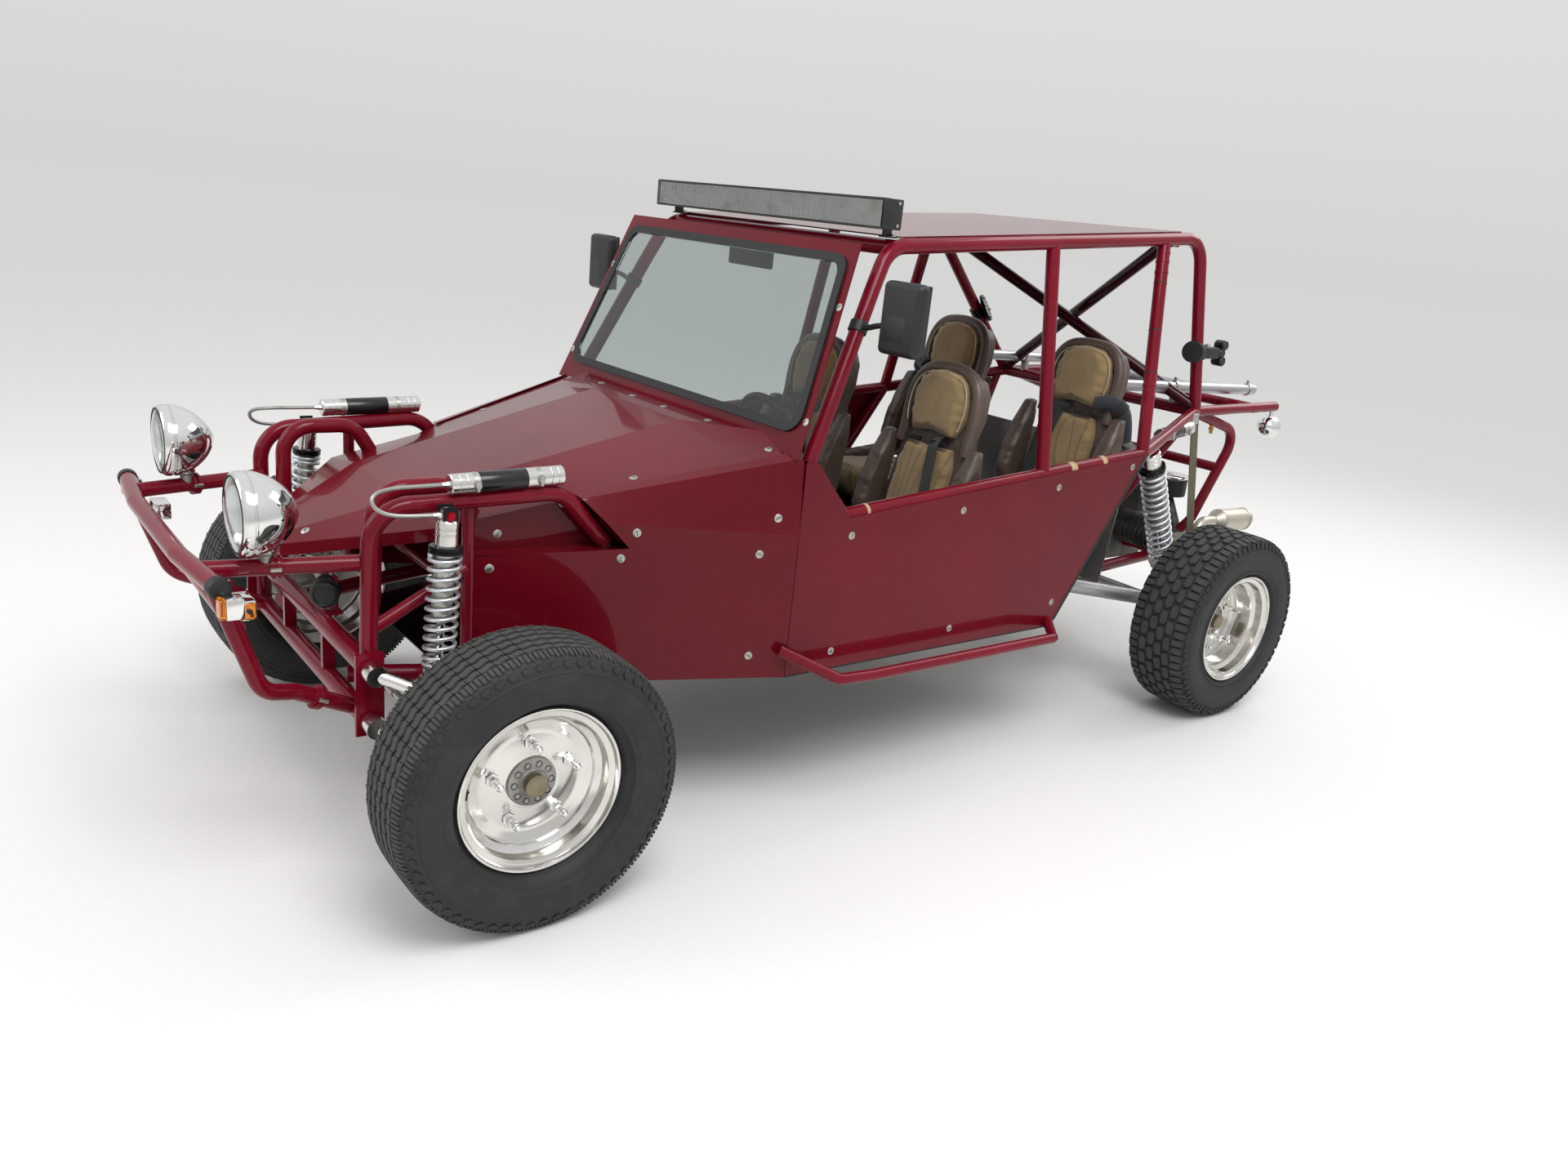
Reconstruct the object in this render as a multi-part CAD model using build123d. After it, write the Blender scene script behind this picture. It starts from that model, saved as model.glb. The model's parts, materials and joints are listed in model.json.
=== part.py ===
from build123d import *
import math
import os

# A four-seat tube-frame dune buggy, in millimetres.
# +X is forward, +Y is the driver's left, +Z is up. The ground is z = 0.
# Stations along the car are written from the front axle, and every piece is
# moved forward by front_axle_x, which puts the origin under the middle of the car.

# Driving dimensions: the whole car
front_axle_x = 1403.5
wheelbase = 2873.0
front_track_half = 810.0
rear_track_half = 760.0
tyre_radius = 356.0
seat_gap = 0.3
run_gap = 0.08
move_gap = 6.0

# Wheels and tyres
rim_radius = 190.0
rim_lip_radius = 207.0
rim_wall = 6.0
front_rim_half = 74.0
rear_rim_half = 114.0
front_tyre_half = 112.0
rear_tyre_half = 126.0
front_tyre_facets = 36
rear_lugs = 20
front_disc_out = 22.0
rear_disc_out = 8.0
hub_bore_radius = 20.0
hub_bore_depth = 46.0

# Tubes of the frame
tube_r = 22.0
light_r = 16.0
cage_bend = 110.0
panel_t = 4.0
hood_lip = 32.0

# Body stations and heights
nose_x = 355.0
shoulder_x = 70.0
cowl_x = -842.0
belt_front_x = -1003.0
belt_rear_x = -2350.0
rear_base_x = -2897.0
tail_x = -3440.0
corner_x = -834.0
nose_side = 448.0
body_half = 700.0
cowl_half = 689.0
sill_z = 433.0
cowl_z = 1062.0
belt_front_z = 886.0
belt_rear_z = 1008.0
rear_base_z = 1112.0
roof_front_z = 1618.0
roof_rear_z = 1738.0
roof_front_x = -1150.0
roof_rear_x = -2700.0
roof_front_half = 569.0
roof_rear_half = 500.0
roof_sheet_front_x = -1192.0
roof_sheet_rear_x = -2570.0

# Front suspension
beam_x = 262.0
beam_upper_z = 553.0
beam_lower_z = 420.0
beam_half = 500.0
beam_r = 25.0
kingpin_y = 700.0
ball_upper_z = 450.0
ball_lower_z = 250.0
arm_r = 17.0
ball_boss_r = 24.0
ball_pin_r = 10.0
steer_arm_x = 140.0
steer_arm_y = 655.0
steer_arm_z = 370.0
tie_rod_r = 9.0
rack_half = 240.0
hoop_y = beam_half - 38.0
inner_hoop_y = hoop_y - 90.0
hoop_top_z = 948.0
shock_y = beam_half + 38.0
reservoir_r = 25.0
hose_r = 5.0
hose_bend = 24.0
spring_wire_sides = 5

# Engine
cylinder_z = 540.0
cylinder_r = 44.0
fin_r = 54.0
fin_pitch = 24.0
head_y = 380.0
fan_z = 770.0
exhaust_r = 22.0

# Rear rack and the clamp on the right rear leg
rack_y = 385.0
rack_r = 21.0
rack_bore_r = 18.0
rack_bore_depth = 90.0
clamp_plate_r = 58.0
clamp_bolt_circle = 88.0
clamp_hole_r = 3.3

# Seats
seat_y = 330.0
seat_half = 235.0
front_seat_x = -1560.0
rear_seat_x = -2270.0

wheel_z = tyre_radius
side_tube_y = body_half - panel_t - seat_gap - tube_r
side_bar_face = body_half + seat_gap
bar_y = body_half + 96.0
shelf_top = 803.6 + seat_gap

os.makedirs("parts", exist_ok=True)


def flip(points):
    """The same points on the car's right side."""
    return [(x, -y, z) for x, y, z in points]


def tube(points, radius=tube_r, bend=cage_bend, grow=0.0):
    """A round bar along straight runs joined by arcs."""
    pts = [Vector(*p) for p in points]
    plane = Plane(origin=pts[0], z_dir=pts[1] - pts[0])
    if len(pts) == 2:
        return Solid.make_cylinder(radius + grow, (pts[1] - pts[0]).length, plane)
    path = FilletPolyline(*pts, radius=bend)
    return sweep(plane * Circle(radius + grow), path=path).solids()[0]


def rod(start, end, radius):
    """A straight round bar between two points."""
    return tube([start, end], radius)


def disc(centre, axis, radius, length):
    """A short cylinder centred on a point."""
    direction = Vector(*axis).normalized()
    base = Vector(*centre) - direction * (length / 2)
    return Solid.make_cylinder(radius, length, Plane(origin=base, z_dir=direction))


def block(low, high):
    """A box between two corners."""
    size = [b - a for a, b in zip(low, high)]
    return Pos(*low) * Box(*size, align=(Align.MIN, Align.MIN, Align.MIN))


def loft_of(wires):
    """A ruled body through closed outlines."""
    return loft([Face(Wire.make_polygon([Vector(*p) for p in w])) for w in wires], ruled=True)


def plate(outline, thickness, direction):
    """A flat outline given its thickness along a direction."""
    face = Face(Wire.make_polygon([Vector(*p) for p in outline]))
    return Solid.extrude(face, Vector(*direction).normalized() * thickness)


def big_solids(shape, share=0.02):
    """The solids of a shape without the slivers a cut leaves."""
    solids = shape.solids()
    limit = share * max(s.volume for s in solids)
    return [s for s in solids if s.volume > limit]


def near(a, b, margin=1.0):
    """Whether two boxes come within a margin of each other."""
    return (a.min.X - margin < b.max.X and b.min.X - margin < a.max.X
            and a.min.Y - margin < b.max.Y and b.min.Y - margin < a.max.Y
            and a.min.Z - margin < b.max.Z and b.min.Z - margin < a.max.Z)


NODES = {}


def add(node, *shapes):
    """Puts solids into a node."""
    for shape in shapes:
        NODES.setdefault(node, []).extend(shape.solids())


def both(shape):
    """A left piece and its mirror image."""
    return [shape, mirror(shape, Plane.XZ)]


# Frame tubes: node, side, radius, bend radius, points.
# A tube is cut back to the ones above it in the table, as a welder copes its ends.
side_y = side_tube_y
rail_start = (-1092.0, 588.0, 1505.0)
rail_end = (-2737.0, 499.0, 1620.0)
pillar_foot = (-868.0, 664.0, 1062.0)
rear_base = (rear_base_x, 490.0, rear_base_z)
belt_front = (belt_front_x, side_y, belt_front_z)
belt_rear = (belt_rear_x, side_y, belt_rear_z)
right_leg_top = (-2362.0, 514.0, 1712.0)
hoop_foot_x = 255.0
rack_front = (-2520.0, rack_y, 1198.0)
rack_end = (-3440.0, rack_y, 1173.0)
FRAME = [
    ("roll_cage", "left", tube_r, 110.0, [rail_start, (roof_front_x, roof_front_half, roof_front_z),
                                          (roof_rear_x, roof_rear_half, roof_rear_z), rail_end]),
    ("roll_cage", "right", tube_r, 110.0, [rail_start, (roof_front_x, roof_front_half, roof_front_z),
                                           (-2590.0, 504.5, 1729.5)]),
    ("roll_cage", "pair", tube_r, 0.0, [belt_front, belt_rear]),
    ("roll_cage", "pair", tube_r, 0.0, [rail_start, (-868.0, 664.0, 1040.0)]),
    ("roll_cage", "left", tube_r, 0.0, [rail_end, rear_base]),
    ("roll_cage", "right", tube_r, 0.0, [right_leg_top, rear_base]),
    ("roll_cage", "pair", tube_r, 0.0, [belt_rear, rear_base]),
    ("roll_cage", "pair", tube_r, 0.0, [(-1872.0, 537.0, 1665.0), (-1838.0, side_y, 955.0)]),
    ("roll_cage", "left", tube_r, 0.0, [(-2478.0, 509.0, 1718.0), belt_rear]),
    ("roll_cage", "right", tube_r, 0.0, [right_leg_top, belt_rear]),
    ("roll_cage", "pair", tube_r, 0.0, [(-868.0, 664.0, 1040.0), belt_front]),
    ("roll_cage", "mid", tube_r, 0.0, [(-1180.0, -567.0, 1616.0), (-1180.0, 567.0, 1616.0)]),
    ("roll_cage", "mid", light_r, 0.0, [(-1872.0, -537.0, 1668.0), (-1872.0, 537.0, 1668.0)]),
    ("roll_cage", "mid", tube_r, 0.0, [(-2560.0, -506.0, 1722.0), (-2560.0, 506.0, 1722.0)]),
    ("roll_cage", "mid", tube_r, 0.0, [(rear_base_x, -490.0, rear_base_z), (rear_base_x, 490.0, rear_base_z)]),
    ("rear_brace", "mid", tube_r, 0.0, [(-2345.0, -500.0, 1706.0), (-2885.0, 486.0, 1130.0)]),
    ("rear_brace", "mid", tube_r, 0.0, [(-2505.0, 506.0, 1716.0), (-2885.0, -486.0, 1130.0)]),
    ("lower_frame", "pair", tube_r, 0.0, [(-850.0, side_y, 455.0), (-1960.0, side_y, 455.0)]),
    ("lower_frame", "pair", tube_r, 0.0, [(-850.0, side_y, 455.0), (-868.0, 664.0, 1040.0)]),
    ("lower_frame", "pair", tube_r, 0.0, [(-1960.0, side_y, 455.0), belt_rear]),
    ("lower_frame", "pair", tube_r, 0.0, [(-850.0, side_y, 455.0), (beam_x - 8, 300.0, 470.0)]),
    ("lower_frame", "pair", tube_r, 0.0, [(-1960.0, side_y, 455.0), (-2420.0, 360.0, 455.0)]),
    ("lower_frame", "pair", tube_r, 0.0, [(-2420.0, 360.0, 455.0), (-3150.0, 300.0, 470.0)]),
    ("lower_frame", "mid", tube_r, 0.0, [(-850.0, -side_y, 455.0), (-850.0, side_y, 455.0)]),
    ("lower_frame", "mid", light_r, 0.0, [(-1400.0, -side_y, 452.0), (-1400.0, side_y, 452.0)]),
    ("lower_frame", "mid", tube_r, 0.0, [(-1960.0, -side_y, 455.0), (-1960.0, side_y, 455.0)]),
    ("lower_frame", "mid", tube_r, 0.0, [(-2420.0, -360.0, 455.0), (-2420.0, 360.0, 455.0)]),
    ("lower_frame", "mid", tube_r, 0.0, [(-3150.0, -300.0, 470.0), (-3150.0, 300.0, 470.0)]),
    ("front_hoops", "pair", 21.0, 95.0, [(hoop_foot_x, hoop_y, 600.0), (hoop_foot_x - 4, hoop_y, hoop_top_z - 8),
                                         (-225.0, 482.0, hoop_top_z + 8), (-352.0, 490.0, 812.5)]),
    ("front_hoops", "pair", 21.0, 0.0, [(hoop_foot_x, hoop_y, 600.0), (hoop_foot_x, hoop_y, 440.0)]),
    ("front_hoops", "pair", 21.0, 80.0, [(215.0, inner_hoop_y, 700.0), (212.0, inner_hoop_y, hoop_top_z + 14),
                                         (14.0, inner_hoop_y, hoop_top_z + 14), (-40.0, inner_hoop_y, 874.0)]),
    ("front_hoops", "pair", 21.0, 0.0, [(215.0, inner_hoop_y, 700.0), (232.0, inner_hoop_y, beam_upper_z)]),
    ("front_hoops", "pair", light_r, 0.0, [(5.0, 446.0, hoop_top_z), (5.0, 446.0, 520.0)]),
    ("front_hoops", "pair", light_r, 0.0, [(hoop_foot_x, hoop_y, 640.0), (5.0, 446.0, 770.0)]),
    ("lower_frame", "pair", light_r, 0.0, [(-858.0, 655.0, 775.0), (5.0, 425.0, 775.0)]),
    ("lower_frame", "pair", light_r, 0.0, [(5.0, 440.0, 530.0), (-60.0, 420.0, 462.0)]),
    ("lower_frame", "mid", light_r, 0.0, [(5.0, -440.0, 700.0), (5.0, 440.0, 700.0)]),
    ("rear_frame", "pair", 20.0, 0.0, [rear_base, (tail_x, 500.0, 1124.0)]),
    ("rear_frame", "mid", 20.0, 0.0, [(tail_x + 150.0, -500.0, 1119.0), (tail_x + 150.0, 500.0, 1119.0)]),
    ("rear_frame", "pair", 20.0, 90.0, [(-2960.0, 450.0, 1100.0), (-3290.0, 450.0, 1010.0), (-3165.0, 400.0, 640.0)]),
    ("rear_frame", "pair", 20.0, 0.0, [(-3165.0, 400.0, 640.0), (-3120.0, 303.0, 480.0)]),
    ("rear_frame", "mid", 20.0, 0.0, [(-3238.0, -430.0, 860.0), (-3238.0, 430.0, 860.0)]),
    ("rear_frame", "pair", light_r, 0.0, [(-2860.0, 500.0, 1095.0), (-2560.0, 380.0, 640.0)]),
    ("rear_frame", "pair", light_r, 0.0, [(-2560.0, 380.0, 640.0), (-2440.0, 357.0, 470.0)]),
    ("rear_rack", "pair", rack_r, 0.0, [rack_front, rack_end]),
    ("rear_rack", "mid", rack_r, 0.0, [(-3000.0, -rack_y, 1185.0), (-3000.0, rack_y, 1185.0)]),
    ("rear_rack", "pair", light_r, 0.0, [(rear_base_x, rack_y, rear_base_z), (rear_base_x, rack_y, 1188.0)]),
    ("bumper", "mid", tube_r, 60.0, [(588.0, -520.0, 800.0), (613.0, -245.0, 800.0),
                                     (613.0, 245.0, 800.0), (588.0, 520.0, 800.0)]),
    ("bumper", "pair", 20.0, 0.0, [(604.0, 366.0, 800.0), (hoop_foot_x, 446.0, 806.0)]),
    ("bumper", "pair", 20.0, 70.0, [(590.0, 492.0, 790.0), (500.0, 474.0, 530.0), (420.0, 440.0, 505.0)]),
    ("bumper", "pair", 20.0, 0.0, [(420.0, 440.0, 505.0), (beam_x, 400.0, beam_lower_z)]),
    ("bumper", "mid", 18.0, 0.0, [(545.0, -470.0, 690.0), (545.0, 470.0, 690.0)]),
    ("side_bars", "pair", 17.0, 60.0, [(-800.0, body_half + 4, 520.0), (-960.0, bar_y - 4, 440.0), (-1080.0, bar_y, 436.0)]),
    ("side_bars", "pair", 17.0, 0.0, [(-1080.0, bar_y, 436.0), (-1880.0, bar_y, 436.0)]),
    ("side_bars", "pair", 17.0, 0.0, [(-1880.0, bar_y, 436.0), (-1960.0, body_half, 452.0)]),
]


TUBES = []


def tube_trims():
    """What is cut from the tubes of a node: flat ends against a panel, and the rack tubes' open rear ends."""
    run = Vector(*rack_front) - Vector(*rack_end)
    mouth = Solid.make_cylinder(rack_bore_r, rack_bore_depth, Plane(origin=rack_end, z_dir=run))
    return {
        "side_bars": [block((-2000, -side_bar_face, 300), (0, side_bar_face, 700))],
        "front_hoops": [block((-500, -700, 700), (-200, 700, shelf_top))],
        "rear_rack": both(mouth),
    }


def build_frame():
    """Builds every tube of the table, each coped to those before it."""
    trims = tube_trims()
    for node, side, radius, bend, points in FRAME:
        lines = {"pair": [points, flip(points)], "right": [flip(points)]}.get(side, [points])
        for line in lines:
            solid = tube(line, radius, bend)
            box = solid.bounding_box()
            cutters = [grown for grown, other in TUBES if near(box, other)]
            pieces = (solid - cutters).solids() if cutters else [solid]
            limit = 0.02 * solid.volume
            for cutter in trims.get(node, []):
                if near(box, cutter.bounding_box()):
                    pieces = [s - cutter for s in pieces]
            add(node, *[s for piece in pieces for s in piece.solids() if s.volume > limit])
            TUBES.append((tube(line, radius, bend, seat_gap), box))


def rim(half, disc_out):
    """A wheel: a barrel with two lips, a dished disc, a hub and its spindle bore, made on +Y."""
    lip = rim_lip_radius
    seat = rim_radius
    wall = rim_wall
    well = rim_radius - 22.0
    outline = [
        (half, lip), (half - 8.0, lip), (half - 12.0, seat), (half - 46.0, seat - 2.0), (half - 58.0, well),
        (-half + 58.0, well), (-half + 46.0, seat - 2.0), (-half + 12.0, seat), (-half + 8.0, lip), (-half, lip),
        (-half, lip - wall), (-half + 6.0, seat - wall), (-half + 48.0, seat - 2.0 - wall),
        (-half + 60.0, well - wall), (disc_out - 14.0, well - wall), (disc_out - 22.0, 120.0),
        (disc_out - 14.0, 62.0), (disc_out - 40.0, 56.0), (disc_out - 40.0, hub_bore_radius),
        (disc_out - 40.0 + hub_bore_depth, hub_bore_radius), (disc_out - 40.0 + hub_bore_depth, 0.0),
        (disc_out + 30.0, 0.0), (disc_out + 30.0, 40.0), (disc_out + 20.0, 46.0), (disc_out - 2.0, 50.0),
        (disc_out - 4.0, 62.0), (disc_out - 14.0, 120.0), (disc_out - 6.0, well - wall),
        (half - 60.0, well - wall), (half - 48.0, seat - 2.0 - wall), (half - 14.0, seat - wall), (half, lip - wall),
    ]
    return revolve(make_face(Polyline(*[(r, y) for y, r in outline], close=True)), Axis.Y, 360)


def axle_ring(angles, radii, y):
    """A closed outline round the wheel's axle: its corners' angles in degrees, and their radii in turn."""
    return [(radii[k % len(radii)] * math.sin(math.radians(a)), y, radii[k % len(radii)] * math.cos(math.radians(a)))
            for k, a in enumerate(angles)]


def tyre(half, rim_half, lugs):
    """A tyre of flat facets with a round bore: lugs across the tread, or none and two grooves round it."""
    bead = (rim_half - 12.5, [rim_lip_radius + 2.0])
    side = (half, [278.0])
    if lugs:
        pitch = 360.0 / lugs
        lug_half = 0.29 * pitch
        angles = [k * pitch + a for k in range(lugs) for a in (-lug_half, lug_half, 0.36 * pitch, 0.64 * pitch)]
        top = tyre_radius / math.cos(math.radians(lug_half))
        rows = [bead, side, (half - 13.0, [top - 6.0, top - 6.0, top - 18.0, top - 18.0]),
                (half - 24.0, [top, top, top - 13.0, top - 13.0])]
    else:
        pitch = 360.0 / front_tyre_facets
        angles = [(k + 0.5) * pitch for k in range(front_tyre_facets)]
        top = tyre_radius / math.cos(math.radians(0.5 * pitch))
        rows = [bead, side, (half - 9.0, [336.0]), (half - 24.0, [top]), (42.0, [top]), (36.0, [top - 8.0]),
                (30.0, [top])]
    outline = rows + [(-y, radii) for y, radii in reversed(rows)]
    body = loft_of([axle_ring(angles, radii, y) for y, radii in outline])
    return body - disc((0, 0, 0), (0, 1, 0), rim_radius + seat_gap, 2 * rim_half)


def build_wheels():
    """Places the four rims and tyres on their hubs."""
    corners = [
        ("front_left", 0.0, front_track_half, front_rim_half, front_tyre_half, front_disc_out, 1),
        ("front_right", 0.0, front_track_half, front_rim_half, front_tyre_half, front_disc_out, -1),
        ("rear_left", -wheelbase, rear_track_half, rear_rim_half, rear_tyre_half, rear_disc_out, 1),
        ("rear_right", -wheelbase, rear_track_half, rear_rim_half, rear_tyre_half, rear_disc_out, -1),
    ]
    for name, x, track, rim_half, tyre_half, disc_out, side in corners:
        wheel = rim(rim_half, disc_out)
        rubber = tyre(tyre_half, rim_half, 0 if "front" in name else rear_lugs)
        if side < 0:
            wheel = mirror(wheel, Plane.XZ)
            rubber = mirror(rubber, Plane.XZ)
        add("rim_" + name, Pos(x, side * track, wheel_z) * wheel)
        add("tyre_" + name, Pos(x, side * track, wheel_z) * rubber)


def build_knuckles():
    """The uprights: kingpin body, brake drum, spindle and steering arm."""
    for name, side in (("left", 1), ("right", -1)):
        upright = loft_of([
            [(-22, kingpin_y - 18, ball_lower_z + 22), (22, kingpin_y - 18, ball_lower_z + 22),
             (22, kingpin_y + 14, ball_lower_z + 22), (-22, kingpin_y + 14, ball_lower_z + 22)],
            [(-34, kingpin_y - 20, wheel_z), (34, kingpin_y - 20, wheel_z),
             (34, kingpin_y + 26, wheel_z), (-34, kingpin_y + 26, wheel_z)],
            [(-20, kingpin_y - 18, ball_upper_z - 22), (20, kingpin_y - 18, ball_upper_z - 22),
             (20, kingpin_y + 14, ball_upper_z - 22), (-20, kingpin_y + 14, ball_upper_z - 22)],
        ])
        hub_face = front_track_half + front_disc_out - 40.0
        drum = disc((0, hub_face - 24.0, wheel_z), (0, 1, 0), 118.0, 36.0)
        spindle = rod((0, kingpin_y, wheel_z), (0, hub_face + hub_bore_depth - 2.0, wheel_z),
                      hub_bore_radius - run_gap)
        arm = plate([(-16, kingpin_y - 16, steer_arm_z), (20, kingpin_y + 8, steer_arm_z),
                     (steer_arm_x + 6, steer_arm_y + 14, steer_arm_z), (steer_arm_x + 16, steer_arm_y, steer_arm_z),
                     (steer_arm_x + 4, steer_arm_y - 14, steer_arm_z), (10, kingpin_y - 30, steer_arm_z)],
                    14.0, (0, 0, 1))
        pin = rod((0, kingpin_y, ball_lower_z - 24), (0, kingpin_y, ball_upper_z + 26), ball_pin_r - run_gap)
        piece = upright + drum + spindle + arm + pin
        if side < 0:
            piece = mirror(piece, Plane.XZ)
        add("knuckle_" + name, piece)


def build_front_suspension():
    """The two-tube beam, its end plates, the trailing arms, the rack and the tie rods."""
    beam = []
    for z in (beam_upper_z, beam_lower_z):
        beam.append(rod((beam_x, -beam_half, z), (beam_x, beam_half, z), beam_r))
    for side in (1, -1):
        plate_y = side * (beam_half - 14.0)
        beam.append(block((beam_x - 34, plate_y - 5, beam_lower_z - 36), (beam_x + 34, plate_y + 5, beam_upper_z + 40)))
        beam.append(block((beam_x - 16, side * 170 - 8, beam_lower_z), (beam_x + 16, side * 170 + 8, beam_upper_z)))
    whole = beam[0] + beam[1:]
    add("front_beam", seat_on_frame(whole))
    for z_in, z_out in ((beam_upper_z, ball_upper_z), (beam_lower_z, ball_lower_z)):
        boss = disc((beam_x, beam_half + seat_gap + 22.0, z_in), (0, 1, 0), beam_r + 1, 44.0)
        arm = rod((beam_x, beam_half + 24.0, z_in), (0, kingpin_y, z_out), arm_r)
        sign = 1 if z_out == ball_upper_z else -1
        ball = disc((0, kingpin_y, z_out + sign * 2), (0, 0, 1), ball_boss_r, 34.0)
        clear = [disc((0, kingpin_y, z_out), (0, 0, 1), ball_pin_r, 60.0),
                 disc((0, kingpin_y, z_out - sign * 35), (0, 0, 1), 60.0, 40.0)]
        link = boss + arm + ball
        if sign > 0:
            link = link + rod((122.0, shock_y - 6, 512.0), (122.0, 612.0, 512.0), 8.0)
        add("front_arms", *both(link - clear))
    rack = disc((steer_arm_x, 0, 405.0), (0, 1, 0), 26.0, 2 * rack_half)
    bore = disc((steer_arm_x, 0, 405.0), (0, 1, 0), 12.0 + run_gap, 2 * rack_half + 2)
    feet = [block((steer_arm_x, y - 12, 395), (beam_x, y + 12, 415)) for y in (-140, 140)]
    socket = rod((beam_x, -beam_half, beam_lower_z), (beam_x, beam_half, beam_lower_z), beam_r + seat_gap)
    housing = rack + feet - socket
    add("steering_rack", housing - bore)
    bar = disc((steer_arm_x, 0, 405.0), (0, 1, 0), 12.0, 2 * rack_half + 160.0)
    bar = bar + disc((steer_arm_x, 0, 405.0), (0, 1, 0), tie_rod_r, 2 * steer_arm_y + 24.0)
    add("tie_rods", bar)


def seat_on_frame(shape):
    """A shape with room cut for each tube of the frame that reaches it."""
    box = shape.bounding_box()
    for grown, other in TUBES:
        if near(box, other):
            shape = shape - grown
    return Part() + big_solids(shape)


# Springs and dampers: top eye, bottom eye, spring radius, wire radius, coils
SHOCKS = {
    "front": ((95.0, shock_y, 934.0), (122.0, shock_y + 14.0, 512.0), 41.0, 5.0, 11),
    "rear": ((-2512.0, 590.0, 1000.0), (-2800.0, 556.0, 500.0), 50.0, 6.0, 15),
}


def build_shocks():
    """Coil-over dampers: eyes, bodies, collars, rods, springs and remote reservoirs."""
    for end, (top, bottom, spring_r, wire_r, coils) in SHOCKS.items():
        a = Vector(*top)
        b = Vector(*bottom)
        axis = (b - a).normalized()
        length = (b - a).length

        def along(distance):
            return a + axis * distance

        def bar(start, stop, radius):
            return Solid.make_cylinder(radius, stop - start, Plane(origin=along(start), z_dir=axis))

        eye_top = disc(top, (0, 1, 0), 17.0, 30.0)
        eye_bottom = disc(bottom, (0, 1, 0), 16.0, 30.0)
        body = bar(10.0, 80.0, spring_r - 14.0) + bar(60.0, length * 0.62, spring_r - 16.0)
        collar = bar(74.0, 92.0, spring_r)
        shaft = bar(length * 0.6, length - 8.0, 10.0)
        cup = bar(length - 48.0, length - 36.0, spring_r - 5.0)
        damper = eye_top + eye_bottom + body + collar + shaft + cup
        damper = damper - [disc(p, (0, 1, 0), 8.0 + seat_gap, 40.0) for p in (top, bottom)]
        add(end + "_shocks", *both(damper))
        start = 92.0 + seat_gap
        stop = length - 48.0 - seat_gap
        path = Helix(pitch=(stop - start - 2 * wire_r) / coils, height=stop - start - 2 * wire_r,
                     radius=spring_r - wire_r)
        section = Plane(origin=path @ 0, z_dir=path % 0) * RegularPolygon(wire_r, spring_wire_sides)
        coil = Plane(origin=along(start + wire_r), z_dir=axis) * sweep(section, path=path, is_frenet=True)
        add(end + "_springs", *both(coil))


def build_reservoirs():
    """Remote reservoirs, the front pair with the hoses to their dampers."""
    front = rod((72.0, 486.0, 992.0), (-222.0, 486.0, 1000.0), reservoir_r)
    add("front_reservoirs", *both(seat_on_frame(front)))
    hose = tube([(72.0 + seat_gap, 488.0, 993.0), (215.0, 494.0, 993.0), (266.0, 520.0, 968.0), (226.0, 534.0, 936.0),
                 (112.0 + seat_gap, shock_y, 934.0)], hose_r, hose_bend)
    add("front_reservoirs", *both(hose))
    rear = rod((-2560.0, 585.0, 1046.0), (-2800.0, 545.0, 1062.0), reservoir_r)
    add("rear_reservoirs", *both(seat_on_frame(rear)))


def side_at(x):
    """Half width of the flat front side at a station."""
    return nose_side + (body_half - nose_side) * x / corner_x


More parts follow.
